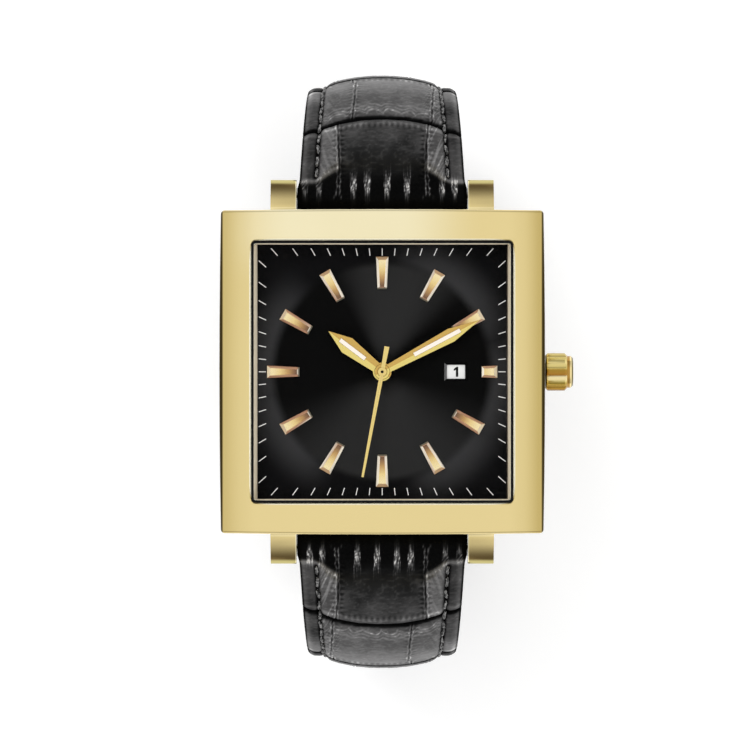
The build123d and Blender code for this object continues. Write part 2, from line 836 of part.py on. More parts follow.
def strap_bottom():
    """The 6 o'clock half with its pointed tail and the row of holes."""
    steps = bottom_route()
    end = route_length(steps)
    point = end - tail_point_length
    marks = shoulder_marks() + [bottom_rise_fades_from, bottom_rise_fades_to]
    marks += [point + share * tail_point_length for share in tail_point_shares] + [end]

    def width_at(distance):
        share = max(0.0, min(1.0, (distance - point) / tail_point_length))
        return strap_width(distance) - (strap_width_end - tail_point_width) * (1 - (1 - share * share) ** 0.5)

    body = lofted(
        steps, -1, marks, width_at,
        lambda distance: thickness_between(distance, end / 2, tail_thickness),
        lambda distance: padded_rise(distance, bottom_rise_fades_from, bottom_rise_fades_to),
    )
    body += rod_x(strap_end_thickness / 2, -strap_width(0) / 2, strap_width(0) / 2, -bar_y, bar_z)
    body -= rod_x(bar_r + running_gap, -case_side, case_side, -bar_y, bar_z)
    for step in range(-hole_count_before, hole_count_after + 1):
        plane = route_plane(steps, tang_hole_distance() + step * hole_pitch, -1)
        y_dir = plane.y_dir
        hole = Plane(origin=plane.origin - y_dir * strap_end_thickness, z_dir=y_dir)
        body -= hole * extrude(Circle(hole_r), 2 * strap_end_thickness)
    return body


def tang_hole_distance():
    """How far along the long half its used hole lies."""
    bare = route_steps(bottom_side_r(), [])
    own_y = route_point(bare, route_length(bare))[0]
    return route_length(bare) + own_y + buckle_bar_y - tang_hole_from_bar


def tail_z():
    """The middle height of the tail on the flat."""
    bare = route_steps(bottom_side_r(), [])
    return route_point(bare, route_length(bare))[1]


def stand_z():
    """The level that the buckle and the keepers stand on."""
    return tail_z() - tail_thickness / 2 - buckle_front_gap - buckle_front_thickness


def buckle_frame():
    """The buckle: two bent arms from the bar to a front bar under the tail."""
    low_z, bar_middle_z = stand_z(), flat_start_y()[1]
    front_top = low_z + buckle_front_thickness
    inner_x = strap_width_end / 2 + buckle_side_gap
    outer_x = inner_x + buckle_arm_width
    front_y = buckle_bar_y - buckle_front_from_bar
    front_in_y, front_out_y = front_y + buckle_front_width / 2, front_y - buckle_front_width / 2
    arm = make_face(
        Polyline(
            (buckle_bar_y, bar_middle_z + buckle_eye_r), (front_in_y, front_top + buckle_eye_r),
            (front_out_y, front_top), (front_out_y, low_z), (front_in_y, low_z),
            (buckle_bar_y, bar_middle_z - buckle_eye_r), close=True,
        )
    )
    arm += Pos(buckle_bar_y, bar_middle_z) * Circle(buckle_eye_r)
    body = side_slab(arm, inner_x, outer_x) + side_slab(arm, -outer_x, -inner_x)
    front = Pos(0, front_y, (low_z + front_top) / 2) * Box(2 * outer_x, buckle_front_width, buckle_front_thickness)
    body += front
    tips = inner_x + buckle_bar_tip_reach + running_gap
    body -= rod_x(buckle_bar_tip_r + running_gap, -tips, tips, buckle_bar_y, bar_middle_z)
    notch_depth = tang_thickness + tang_notch_gap
    notch = Box(tang_width + 2 * tang_notch_gap, 2 * buckle_front_width, 2 * notch_depth)
    return body - Pos(0, front_y, low_z) * notch


def buckle_spring_bar():
    """The bar that carries the strap's end, the tang and the buckle."""
    length = strap_width_end + 2 * buckle_side_gap - 2 * running_gap
    bar_middle_z = flat_start_y()[1]
    return spring_bar(buckle_bar_y, bar_middle_z, buckle_bar_r, buckle_bar_tip_r, length, buckle_bar_tip_reach)


def buckle_tang():
    """The tang: an eye on the bar, a knee through the tail's hole and a tip in the notch."""
    bar_middle_z = flat_start_y()[1]
    front_y = buckle_bar_y - buckle_front_from_bar
    knee_y = buckle_bar_y - tang_knee_from_bar
    tip_y = front_y - buckle_front_width / 2 - tang_tip_past
    knee_low = tail_z() - tail_thickness / 2 - running_gap - tang_thickness
    tip_low = stand_z() + running_gap
    level_y = front_y + buckle_front_width / 2 + tang_thickness
    route = Polyline(
        (buckle_bar_y - tang_eye_r + tang_thickness / 2, bar_middle_z),
        (knee_y + tang_thickness / 2, knee_low + tang_thickness / 2),
        (level_y, tip_low + tang_thickness / 2),
        (tip_y, tip_low + tang_thickness / 2),
    )
    face = trace(route, tang_thickness)
    face += Pos(buckle_bar_y, bar_middle_z) * Circle(tang_eye_r)
    body = side_slab(face, -tang_width / 2, tang_width / 2)
    return body - rod_x(buckle_bar_r + running_gap, -case_side, case_side, buckle_bar_y, bar_middle_z)


def keeper(middle_y):
    """A leather loop round both layers of the strap."""
    top_z = flat_start_y()[1] + strap_low_thickness / 2 + crown_rise_least + keeper_top_gap
    low_z = tail_z() - tail_thickness / 2 - crown_rise_least - keeper_low_gap
    inner_x = strap_width_end + 2 * keeper_side_gap
    outer_low, outer_top = stand_z(), top_z + keeper_top_wall
    outer_x = inner_x + 2 * keeper_side_wall
    plane = Plane(origin=(0, middle_y + keeper_width / 2, 0), x_dir=(1, 0, 0), z_dir=(0, -1, 0))
    outer = chamfer(Rectangle(outer_x, outer_top - outer_low).vertices(), keeper_corner_cut)
    outer = Pos(0, (outer_low + outer_top) / 2) * outer
    inner = Pos(0, (low_z + top_z) / 2) * Rectangle(inner_x, top_z - low_z)
    return plane * extrude(outer - inner, keeper_width)


def turned(shape, angle, low_z):
    """A hand set at its clock angle and height."""
    return Pos(0, 0, low_z) * Rot(0, 0, -angle) * shape


fixed_keeper_y = buckle_bar_y + fixed_keeper_from_bar + keeper_width / 2
sliding_keeper_y = fixed_keeper_y + keeper_width + sliding_keeper_from_fixed

keep(case_middle(), "case_middle")
keep(bezel(), "bezel")
keep(crystal_gasket(), "crystal_gasket")
keep(crystal(), "crystal")
keep(inner_flange(), "inner_flange")
keep(dial(), "dial")
keep(hour_marks(), "hour_marks")
keep(case_back(), "case_back")
keep(case_back_screws(), "case_back_screws")
keep(case_back_gasket(), "case_back_gasket")
keep(movement(), "movement")
keep(movement_holder(), "movement_holder")
keep(battery(), "battery")
keep(date_wheel(), "date_wheel")
keep(crown(), "crown")
keep(stem(), "crown_stem")
keep(setting_lever(), "setting_lever")
keep(crown_tube(), "crown_tube")
keep(crown_seal(), "crown_seal")

hour_hand = sword_hand(
    hour_tip, hour_wide_share, hour_wide, hour_neck, hour_boss_r, hour_lume_shares, hour_pipe_r + snug_gap
)
minute_hand = sword_hand(
    minute_tip, minute_wide_share, minute_wide, minute_neck, minute_boss_r, minute_lume_shares,
    minute_pipe_r + snug_gap,
)
keep(turned(hour_hand, hour_angle, hour_low_z), "hour_hand")
keep(turned(lume(hour_tip, hour_lume_shares), hour_angle, hour_low_z), "hour_hand_inlay")
keep(turned(minute_hand, minute_angle, minute_low_z), "minute_hand")
keep(turned(lume(minute_tip, minute_lume_shares), minute_angle, minute_low_z), "minute_hand_inlay")
keep(turned(second_hand(), second_angle, second_low_z), "second_hand")
hour_inner_r, minute_inner_r = minute_pipe_r + running_gap, second_arbor_r + running_gap
keep(pipe(hour_pipe_r, hour_inner_r, hour_pipe_low_z, hour_low_z + hand_thickness), "hour_wheel_pipe")
keep(pipe(minute_pipe_r, minute_inner_r, minute_pipe_low_z, minute_low_z + hand_thickness), "minute_pinion_pipe")
keep(pipe(second_arbor_r, 0, second_arbor_low_z, second_low_z + second_boss_height - snug_gap), "second_arbor")

keep(lug_spring_bars(), "lug_spring_bars")
keep(strap_top(), "strap_top")
keep(strap_bottom(), "strap_bottom")
keep(buckle_frame(), "buckle_frame")
keep(buckle_spring_bar(), "buckle_spring_bar")
keep(buckle_tang(), "buckle_tang")
keep(keeper(fixed_keeper_y), "keeper_fixed")
keep(keeper(sliding_keeper_y), "keeper_sliding")
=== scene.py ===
import bpy
import bmesh
from math import cos, degrees, exp, hypot, pi, radians, sin, sqrt
from mathutils import Matrix, Vector, noise


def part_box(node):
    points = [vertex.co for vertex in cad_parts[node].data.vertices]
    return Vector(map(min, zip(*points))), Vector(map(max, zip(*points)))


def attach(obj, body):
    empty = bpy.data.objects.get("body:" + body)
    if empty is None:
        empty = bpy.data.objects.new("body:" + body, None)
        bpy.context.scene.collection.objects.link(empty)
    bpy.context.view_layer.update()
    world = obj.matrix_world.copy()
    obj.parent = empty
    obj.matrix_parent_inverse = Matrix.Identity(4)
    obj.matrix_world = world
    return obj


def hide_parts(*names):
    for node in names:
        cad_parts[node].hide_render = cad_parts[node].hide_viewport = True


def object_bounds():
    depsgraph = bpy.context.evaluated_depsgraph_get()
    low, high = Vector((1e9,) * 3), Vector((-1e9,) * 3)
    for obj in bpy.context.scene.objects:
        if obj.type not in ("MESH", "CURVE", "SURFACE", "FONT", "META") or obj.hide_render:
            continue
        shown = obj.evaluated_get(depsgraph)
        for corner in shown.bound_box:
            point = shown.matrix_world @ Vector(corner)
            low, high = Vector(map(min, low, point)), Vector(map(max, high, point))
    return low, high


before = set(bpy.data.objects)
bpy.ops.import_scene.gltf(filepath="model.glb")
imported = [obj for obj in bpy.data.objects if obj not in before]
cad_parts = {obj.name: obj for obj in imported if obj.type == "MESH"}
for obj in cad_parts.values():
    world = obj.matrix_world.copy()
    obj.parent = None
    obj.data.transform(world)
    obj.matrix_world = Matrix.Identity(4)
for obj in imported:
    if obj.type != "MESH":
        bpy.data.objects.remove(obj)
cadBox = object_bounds()
mm = 0.001
fineDepth = 0.02 * mm  # of the finest bumps in the metal and the prints
print("frame loaded:", len(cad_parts), "nodes")


# Shader building

def light(*levels):  # screen levels of 0 to 255 as a linear colour
    shares = [level / 255 for level in levels]
    return tuple(x / 12.92 if x <= 0.04045 else ((x + 0.055) / 1.055) ** 2.4 for x in shares) + (1,)


class Wire:  # a socket that plain maths can use
    def __init__(self, finish, socket):
        self.finish, self.socket = finish, socket

    def maths(self, operation, *others):
        values = dict(enumerate([self, *others]))
        return self.finish.node("ShaderNodeMath", {"operation": operation}, values)

    def __add__(self, other):
        return self.maths("ADD", other)

    def __sub__(self, other):
        return self.maths("SUBTRACT", other)

    def __rsub__(self, other):
        return self.finish.node("ShaderNodeMath", {"operation": "SUBTRACT"}, {0: other, 1: self})

    def __mul__(self, other):
        return self.maths("MULTIPLY", other)

    def __truediv__(self, other):
        return self.maths("DIVIDE", other)

    def __pow__(self, other):
        return self.maths("POWER", other)

    __radd__, __rmul__ = __add__, __mul__

    def part(self, name):  # another output of the same node
        return Wire(self.finish, self.socket.node.outputs[name])

    def between(self, low, high):  # 0 below low, 1 above high, smooth between
        sockets = {"Value": self, "From Min": low, "From Max": high}
        return self.finish.node("ShaderNodeMapRange", {"interpolation_type": "SMOOTHSTEP"}, sockets)


class Finish:  # one node material
    def __init__(self, name):
        self.material = bpy.data.materials.new(name)
        self.material.use_nodes = True
        self.tree = self.material.node_tree
        self.tree.nodes.clear()

    def node(self, kind, settings=None, sockets=None, out=0):
        made = self.tree.nodes.new(kind)
        for key, value in (settings or {}).items():
            if key == "stops":
                fillRamp(made.color_ramp, value)
            else:
                setattr(made, key, value)
        for key, value in (sockets or {}).items():
            if isinstance(value, Wire):
                self.tree.links.new(value.socket, made.inputs[key])
            else:
                made.inputs[key].default_value = value
        return Wire(self, made.outputs[out]) if len(made.outputs) else made

    def place(self):  # the piece's own coordinates, in metres
        return self.node("ShaderNodeTexCoord", out="Object")

    def split(self, vector):
        return self.node("ShaderNodeSeparateXYZ", None, {0: vector})

    def stretched(self, vector, scales):
        return self.node("ShaderNodeVectorMath", {"operation": "MULTIPLY"}, {0: vector, 1: scales})

    def grain(self, vector, scale, detail=3, rough=0.55):
        sockets = {"Vector": vector, "Scale": scale, "Detail": detail, "Roughness": rough}
        return self.node("ShaderNodeTexNoise", None, sockets)

    def fromAxis(self, at):  # distance from the hands' axis
        return (at.part("X") ** 2 + at.part("Y") ** 2) ** 0.5

    def ramp(self, share, stops):
        return self.node("ShaderNodeValToRGB", {"stops": stops}, {0: share})

    def blend(self, share, first, second):
        return self.node("ShaderNodeMix", {"data_type": "RGBA"}, {0: share, 6: first, 7: second}, 2)

    def bump(self, height, strength, distance):
        sockets = {"Height": height, "Strength": strength, "Distance": distance}
        return self.node("ShaderNodeBump", None, sockets)

    def shader(self, colour, roughness, **sockets):
        given = {"Base Color": colour, "Roughness": roughness}
        given.update({key.replace("_", " "): value for key, value in sockets.items()})
        return self.node("ShaderNodeBsdfPrincipled", None, given)

    def done(self, shader):
        self.node("ShaderNodeOutputMaterial", None, {"Surface": shader})
        return self.material

    def polished(self, shade, grain, spread, roughness, strength):
        normal = self.bump(grain, strength, fineDepth)
        return self.done(self.shader(shade, grain * spread + roughness, Metallic=1.0, Normal=normal))


def fillRamp(ramp, stops):
    while len(ramp.elements) < len(stops):
        ramp.elements.new(1)
    for element, (position, colour) in zip(ramp.elements, stops):
        element.position, element.color = position, colour


# Finishes

def polishedGold(name, colour, tone, roughness=0.17):
    finish = Finish(name)
    place = finish.place()
    cloud = finish.grain(place, 60)  # broad, faint unevenness of the plating
    hair = finish.grain(finish.stretched(place, (900, 5200, 900)), 1, 2)
    shade = finish.blend((cloud - 0.35) * 1.4, colour, tone)
    return finish.polished(shade, hair, 0.08, roughness - 0.04, 0.04)


# bezel colours with painted light: a highlight on the upper middle, shade at the sides, a bright lip and dark
# rims
bezelLook = {
    "half": 20.75 * mm, "lip": light(255, 250, 226), "lipSpan": (16.86 * mm, 16.98 * mm),
    "rim": light(56, 46, 20), "rimSpan": (20.2 * mm, 20.42 * mm), "rimFacing": (0.1, 0.3),
    "glowShift": 4.5 * mm, "glowRise": (0.5, 0.86), "glowFade": (0.32, 0.85), "glow": 0.9,
    "sideFade": (0.76, 0.9), "sideEnd": (0.86, 1.0),  # shares of the half width
    "fadeShade": 0.26, "endShade": 0.6, "rightShade": 0.3, "cornerPower": 22, "cornerScale": 60,
}


def bezelGold(name, colour, lightTone, darkTone, look):
    finish = Finish(name)
    place = finish.place()
    at, facing = finish.split(place), finish.split(place.part("Normal"))
    x, y = at.part("X"), at.part("Y")
    reach, rise = x.maths("ABSOLUTE"), y.maths("ABSOLUTE")

    def over(wire, span):  # from 0 to 1 between two shares of the half width
        return wire.between(span[0] * look["half"], span[1] * look["half"])

    # painted light: a highlight on the upper middle of the bezel, and painted shade towards its sides
    aside = (x + look["glowShift"]).maths("ABSOLUTE")
    topGlow = over(y, look["glowRise"]) * (1 - over(aside, look["glowFade"]))
    sideShade = over(reach, look["sideFade"]) * look["fadeShade"]
    endShade = over(reach, look["sideEnd"]) * look["endShade"] + over(x, look["sideEnd"]) * look["rightShade"]
    cloud = finish.grain(place, 45)
    shade = finish.blend(topGlow * look["glow"], colour, lightTone)
    shade = finish.blend(sideShade + endShade + (cloud - 0.5) * 0.2, shade, darkTone)
    power, scale = look["cornerPower"], look["cornerScale"]  # the opening as a square with rounded corners
    corner = ((reach * scale) ** power + (rise * scale) ** power) ** (1 / power) / scale
    # a painted bright highlight along the opening's edge
    shade = finish.blend(1 - corner.between(*look["lipSpan"]), shade, look["lip"])
    # painted dark reflection on the outer rims
    rim = reach.between(*look["rimSpan"]) * facing.part("Z").between(*look["rimFacing"])
    shade = finish.blend(rim, shade, look["rim"])
    hair = finish.grain(finish.stretched(place, (700, 4200, 900)), 1, 2)
    return finish.polished(shade, hair, 0.06, 0.12, 0.03)


lugLook = {
    # foot, band, tip and edge are painted highlights and painted shade along the lug
    "foot": light(250, 234, 180), "footReach": (20.95 * mm, 21.15 * mm), "footShare": 0.6,
    "band": light(112, 93, 56), "bandReach": (21.9 * mm, 23.9 * mm),
    "tip": light(194, 182, 122), "tipReach": (23.94 * mm, 24.36 * mm),
    "edge": light(255, 244, 204), "edgeAside": (11.08 * mm, 11.16 * mm), "edgeReach": (20.7 * mm, 20.8 * mm),
    "edgeShare": 0.85,
}


def lugGold(name, colour, tone, look):
    finish = Finish(name)
    place = finish.place()
    at = finish.split(place)
    reach, aside = at.part("Y").maths("ABSOLUTE"), at.part("X").maths("ABSOLUTE")
    shade = finish.blend(finish.grain(place, 60), colour, tone)
    # painted light along the lug: a highlight at its foot by the case, a band of painted shade, a painted
    # highlight on the tip and a painted bright line on the inner edge
    shade = finish.blend((1 - reach.between(*look["footReach"])) * look["footShare"], shade, look["foot"])
    shade = finish.blend(reach.between(*look["bandReach"]), shade, look["band"])
    shade = finish.blend(reach.between(*look["tipReach"]), shade, look["tip"])
    edge = (1 - aside.between(*look["edgeAside"])) * reach.between(*look["edgeReach"])
    shade = finish.blend(edge * look["edgeShare"], shade, look["edge"])
    hair = finish.grain(finish.stretched(place, (900, 5200, 900)), 1, 2)
    return finish.polished(shade, hair, 0.06, 0.13, 0.03)


flangeLook = {
    "colour": light(255, 246, 222), "tone": light(255, 238, 206),
    # foot is painted shade at the flange's low edge
    "foot": light(70, 50, 38), "footHeight": (0.22, 0.4), "footShare": 0.85,
    "litFacing": (0.2, 0.5), "litShare": 0.8,  # the side that faces the crown stays light
}


def rosePlate(name, look):  # satin, so its slope shows light instead of the dial
    finish = Finish(name)
    place = finish.place()
    side = finish.split(place.part("Normal")).part("X")
    low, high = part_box("inner_flange")
    hair = finish.grain(place, 700, 2)
    shade = finish.blend(hair, look["colour"], look["tone"])
    height = (finish.split(place).part("Z") - low.z) / (high.z - low.z)
    # painted shade at the flange's foot, kept lighter on the side that faces the crown
    dark = 1 - side.between(*look["litFacing"]) * look["litShare"]
    dark = (1 - height.between(*look["footHeight"])) * dark
    shade = finish.blend(dark * look["footShare"], shade, look["foot"])
    normal = finish.bump(hair, 0.05, fineDepth)
    return finish.done(finish.shader(shade, hair * 0.1 + 0.4, Metallic=0.0, Normal=normal))


crownLook = {
    "radius": 2.42 * mm,
    "stops": [  # painted reflections across the crown, from its 6 o'clock side
        (0.0, light(132, 92, 36)), (0.06, light(182, 142, 62)), (0.2, light(178, 152, 66)),
        (0.24, light(214, 194, 122)), (0.3, light(236, 218, 160)), (0.385, light(242, 224, 172)),
        (0.41, light(168, 120, 50)), (0.55, light(164, 130, 52)), (0.6, light(214, 194, 118)),
        (0.74, light(222, 204, 138)), (0.86, light(204, 186, 110)), (0.9, light(220, 200, 128)),
        (1.0, light(198, 178, 108)),
    ],
    # a painted shadow where the crown meets the case, and painted reflections on its cap
    "shadow": light(26, 12, 6), "shadowSpan": (21.02 * mm, 21.12 * mm),
    "cap": light(178, 138, 66), "capSpan": (23.6 * mm, 23.68 * mm),
    "capLight": light(242, 222, 164), "capLightSpan": (23.98 * mm, 24.06 * mm),
    "capDark": light(112, 102, 66), "capDarkSpan": (24.22 * mm, 24.28 * mm), "endFacing": (0.8, 0.97),
}


def crownGold(name, look):  # broad bands of painted reflected light along the flutes
    finish = Finish(name)
    place = finish.place()
    at, facing = finish.split(place), finish.split(place.part("Normal"))
    x = at.part("X")
    speck = finish.grain(place, 1300)
    share = at.part("Y") / (2 * look["radius"]) + 0.5
    shade = finish.ramp(share + (speck - 0.5) * 0.02, look["stops"])
    shade = finish.blend(1 - x.between(*look["shadowSpan"]), shade, look["shadow"])
    shade = finish.blend(x.between(*look["capSpan"]), shade, look["cap"])
    shade = finish.blend(x.between(*look["capLightSpan"]), shade, look["capLight"])
    rim = x.between(*look["capDarkSpan"]) * (1 - facing.part("X").between(*look["endFacing"]))
    return finish.polished(finish.blend(rim, shade, look["capDark"]), speck, 0.08, 0.14, 0.03)


handLook = {
    # upper is the face in painted shade, lower the lit face
    "upper": light(204, 168, 92), "lower": light(228, 208, 124), "ridge": 0.03 * mm,
    "ring": light(120, 92, 40), "rings": (0.62 * mm, 0.98 * mm), "ringWidth": 0.07 * mm, "ringShare": 0.8,
}


def facetedGold(name, clockAngle, look):  # painted shade on the face turned to 12 o'clock
    finish = Finish(name)
    place = finish.place()
    at = finish.split(place)
    turn = radians(clockAngle)
    side = at.part("Y") * abs(sin(turn)) - at.part("X") * (cos(turn) if sin(turn) > 0 else -cos(turn))
    radius = finish.fromAxis(at)
    speck = finish.grain(place, 1600)
    shade = finish.blend(side.between(-look["ridge"], look["ridge"]), look["lower"], look["upper"])
    for ring in look["rings"]:
        near = 1 - (radius - ring).maths("ABSOLUTE").between(0, look["ringWidth"])
        shade = finish.blend(near * look["ringShare"], shade, look["ring"])
    return finish.polished(shade, speck, 0.08, 0.16, 0.04)


def brushedSteel(name, colour, tone, turned=True):
    finish = Finish(name)
    place = finish.place()
    if turned:  # fine rings round the hands' axis
        at = finish.split(place)
        sockets = {0: finish.fromAxis(at) * 9000, 1: at.part("Z") * 300}
        streaks = finish.node("ShaderNodeCombineXYZ", None, sockets)
    else:
        streaks = finish.stretched(place, (200, 9000, 200))
    lines = finish.grain(streaks, 1, 4, 0.7)
    shade = finish.blend(lines, colour, tone)
    normal = finish.bump(lines, 0.12, 0.03 * mm)
    return finish.done(finish.shader(shade, lines * 0.2 + 0.22, Metallic=1.0, Normal=normal))


def softBlack(name, colour, roughness):
    finish = Finish(name)
    dust = finish.grain(finish.place(), 4000)
    shade = finish.blend(dust * 0.5, colour, tuple(4 * part for part in colour[:3]) + (1,))
    normal = finish.bump(dust, 0.15, fineDepth)
    return finish.done(finish.shader(shade, dust * 0.15 + roughness, Normal=normal, Specular_IOR_Level=0.12))


def clearCrystal(name):  # clear from the front, a mirror at low angles
    finish = Finish(name)
    facing = finish.node("ShaderNodeLayerWeight", None, {"Blend": 0.28}, "Facing")
    smear = finish.grain(finish.place(), 90)
    alpha = facing ** 6 * (smear * 0.4 + 0.8)
    return finish.done(finish.shader((0.97, 0.98, 1, 1), smear * 0.02 + 0.01, Metallic=1.0, Alpha=alpha))


dialLook = {
    "discRadius": 14.3 * mm, "softness": 1.1 * mm, "softOutwards": 0.4, "fadeOut": 1.34,
    "disc": light(12, 12, 12), "plate": light(17, 17, 18), "rays": light(8, 8, 8), "rayShare": 0.22,
    # beams and sheens are the sunray brushing's painted sheen
    "beam": light(42, 42, 42), "beams": ((80, 40), (-88, 78)),  # direction and half width in degrees
    "beamStart": 4 * mm,
    "sheen": light(54, 54, 55), "sheens": ((48, 41.6), (-12, 35.2), (-48, 32), (212, 35.2), (168, 41.6)),
    "sheenShare": 0.95,
    "windowSide": light(104, 104, 104),
    "windowFrom": (7.4 * mm, 7.5 * mm), "windowTo": (11.4 * mm, 11.5 * mm),
}


def sunrayDial(name, look):
    finish = Finish(name)
    place = finish.place()
    at, facing = finish.split(place), finish.split(place.part("Normal"))
    x, radius = at.part("X"), finish.fromAxis(at)
    angle = at.part("Y").maths("ARCTAN2", x)

    def sector(middle, width):  # 1 along a direction, 0 from its width on
        return (angle - radians(middle)).maths("COSINE").between(cos(radians(width)), 1)

    rays = finish.node("ShaderNodeCombineXYZ", None, {0: angle.maths("COSINE"), 1: angle.maths("SINE")})
    lines = finish.grain(rays, 160, 3, 0.75)
    disc, soft = look["discRadius"], look["softness"]
    rim = radius.between(disc - soft, disc + soft * look["softOutwards"])
    fade = 1 - radius.between(disc, disc * look["fadeOut"])
    # painted sheen of the sunray brushing: beams over the middle disc and sheens on the outer plate
    glow = sector(*look["sheens"][0])
    for middle, width in look["sheens"][1:]:
        glow = glow.maths("MAXIMUM", sector(middle, width))
    beams = sector(*look["beams"][0]) + sector(*look["beams"][1])
    inner = finish.blend(beams * radius.between(0, look["beamStart"]) * (1 - rim), look["disc"], look["beam"])
    outer = finish.blend(glow * fade * look["sheenShare"], look["plate"], look["sheen"])
    shade = finish.blend(lines * look["rayShare"], finish.blend(rim, inner, outer), look["rays"])
    wall = facing.part("X").between(0.2, 0.5)  # painted light on the date window's bevel that faces the crown
    wall = wall * x.between(*look["windowFrom"]) * (1 - x.between(*look["windowTo"]))
    shade = finish.blend(wall, shade, look["windowSide"])
    return finish.done(finish.shader(shade, lines * 0.1 + 0.4, Specular_IOR_Level=0.0))


markLook = {
    "inner": 10.6 * mm, "outer": 14.7 * mm,
    "stops": [  # painted reflections, from the end near the middle outwards
        (0.0, light(96, 76, 62)), (0.16, light(136, 104, 78)), (0.36, light(190, 152, 100)),
        (0.6, light(230, 204, 142)), (0.85, light(240, 222, 172)), (1.0, light(236, 214, 168)),
    ],
    "bevelBright": light(255, 246, 228), "bevelRose": light(188, 142, 112),
    "innerEnd": light(104, 98, 82), "innerSpan": (0.02, 0.07), "flatFacing": (0.72, 0.97),
}


def markGold(name, look):  # painted reflections: faces fade to brown inwards, bevels get painted light by direction
    finish = Finish(name)
    place = finish.place()
    facing = finish.split(place.part("Normal"))
    share = (finish.fromAxis(finish.split(place)) - look["inner"]) / (look["outer"] - look["inner"])
    speck = finish.grain(place, 1500)
    face = finish.ramp(share + (speck - 0.5) * 0.06, look["stops"])
    across = facing.part("X")
    sideways = across.maths("ABSOLUTE") + across * 0.12 - facing.part("Y").maths("ABSOLUTE") * 0.45
    bevel = finish.blend(sideways.between(0.12, 0.5), look["bevelRose"], look["bevelBright"])
    bevel = finish.blend(1 - share.between(*look["innerSpan"]), bevel, look["innerEnd"])
    slope = 1 - facing.part("Z").between(*look["flatFacing"])
    shade = finish.blend(slope, face, bevel)
    return finish.done(finish.shader(shade, speck * 0.06 + 0.14 + slope * 0.2, Metallic=1 - slope * 0.8))


leatherLook = {
    "stops": [
        (0.0, light(2, 2, 2)), (0.25, light(24, 24, 24)), (0.5, light(62, 61, 61)),
        (0.75, light(112, 111, 111)), (1.0, light(205, 204, 203)),
    ],
    "glossTones": (0.12, 0.5),  # darker leather is matte, lighter leather glossy
}


def blackLeather(name, look):
    finish = Finish(name)
    chart = finish.node("ShaderNodeUVMap", {"uv_map": "strapMap"})  # across and along, in tenths of a metre
    # the strap's tone carries painted highlights and painted shade from the strap's build
    tone = finish.node("ShaderNodeAttribute", {"attribute_name": "tone"}, None, "Fac")
    pores = finish.grain(chart, 260, 4, 0.6)
    fine = finish.grain(finish.stretched(chart, (1, 3.2, 1)), 90, 5, 0.62)
    cloud = finish.grain(chart, 14, 2)
    worn = tone + (fine - 0.5) * 0.3 * tone.between(0.05, 0.4) + (pores - 0.5) * 0.12 + (cloud - 0.5) * 0.1
    shade = finish.ramp(worn, look["stops"])
    normal = finish.bump(pores * 0.3 + fine, 0.3, 0.08 * mm)
    roughness = fine * 0.18 + cloud * 0.12 + 0.24
    polished = finish.shader(shade, roughness, Normal=normal, Specular_IOR_Level=0.28)
    matte = finish.shader(shade, roughness + 0.2, Normal=normal, Specular_IOR_Level=0.03)
    gloss = tone.between(*look["glossTones"])
    return finish.done(finish.node("ShaderNodeMixShader", None, {0: gloss, 1: matte, 2: polished}))


def plainLeather(name, colour, tone, scale):
    finish = Finish(name)
    place = finish.place()
    pores = finish.grain(place, scale, 4, 0.65)
    settings = {"feature": "DISTANCE_TO_EDGE"}
    cells = finish.node("ShaderNodeTexVoronoi", settings, {"Vector": place, "Scale": scale})
    shade = finish.blend(pores, colour, tone)
    normal = finish.bump(pores * 0.4 + cells.between(0, 0.12) * 0.6, 0.5, 0.1 * mm)
    return finish.done(finish.shader(shade, pores * 0.2 + 0.36, Normal=normal))


def waxedThread(name, colour, tone):
    finish = Finish(name)
    fibre = finish.grain(finish.stretched(finish.place(), (5200, 2600, 2600)), 1, 3).between(0.4, 0.66)
    # painted highlights along the fibres of the dark thread
    shade = finish.blend(fibre, colour, tone)
    return finish.done(finish.shader(shade, fibre * 0.2 + 0.32, Normal=finish.bump(fibre, 0.4, 0.04 * mm)))


def paint(name, colour, tone, scale, roughness):
    finish = Finish(name)
    speck = finish.grain(finish.place(), scale)
    shade = finish.blend(speck, colour, tone)
    normal = finish.bump(speck, 0.08, fineDepth)
    return finish.done(finish.shader(shade, speck * 0.1 + roughness, Normal=normal))


goldTone = light(229, 209, 150)
finishes = {
    "gold": polishedGold("polishedGold", goldTone, light(221, 199, 138)),
    "bezel": bezelGold("bezelGold", goldTone, light(244, 234, 196), light(199, 177, 112), bezelLook),
    "crown": crownGold("crownGold", crownLook),
    "lug": lugGold("lugGold", goldTone, light(222, 200, 138), lugLook),
    "rose": rosePlate("roseGold", flangeLook),
    "hourHand": facetedGold("hourHandGold", 307.1, handLook),
    "minuteHand": facetedGold("minuteHandGold", 62.0, handLook),
    "hand": polishedGold("handGold", light(232, 208, 134), light(214, 186, 112), 0.2),
    "mark": markGold("markGold", markLook),
    "steel": brushedSteel("brushedSteel", light(206, 205, 202), light(168, 166, 163)),
    "bar": brushedSteel("barSteel", light(190, 190, 190), light(150, 150, 150), False),
    "movement": brushedSteel("nickelMovement", light(214, 208, 196), light(186, 180, 168)),
    "rubber": softBlack("softRubber", light(4, 4, 4), 0.6),
    # the second arbor near-black, as painted shade in the pit at the hands' centre
    "pit": softBlack("darkCentre", light(4, 4, 4), 0.6),
    "crystal": clearCrystal("clearCrystal"),
    "dial": sunrayDial("sunrayDial", dialLook),
    "date": paint("datePrintGround", light(236, 236, 234), light(214, 214, 212), 900, 0.5),
    "inlay": paint("lightCompound", light(240, 230, 217), light(231, 220, 206), 5200, 0.6),
    "white": paint("whitePrint", light(246, 246, 246), light(232, 232, 232), 4000, 0.5),
    "black": softBlack("blackPrint", light(3, 3, 3), 0.5),
    "plastic": paint("mouldedPlastic", light(70, 70, 74), light(58, 58, 62), 1400, 0.45),
    "strap": blackLeather("embossedLeather", leatherLook),
    "keeper": plainLeather("keeperLeather", light(17, 17, 17), light(32, 31, 31), 900),
    "thread": waxedThread("waxedThread", light(20, 20, 20), light(142, 141, 140)),
}

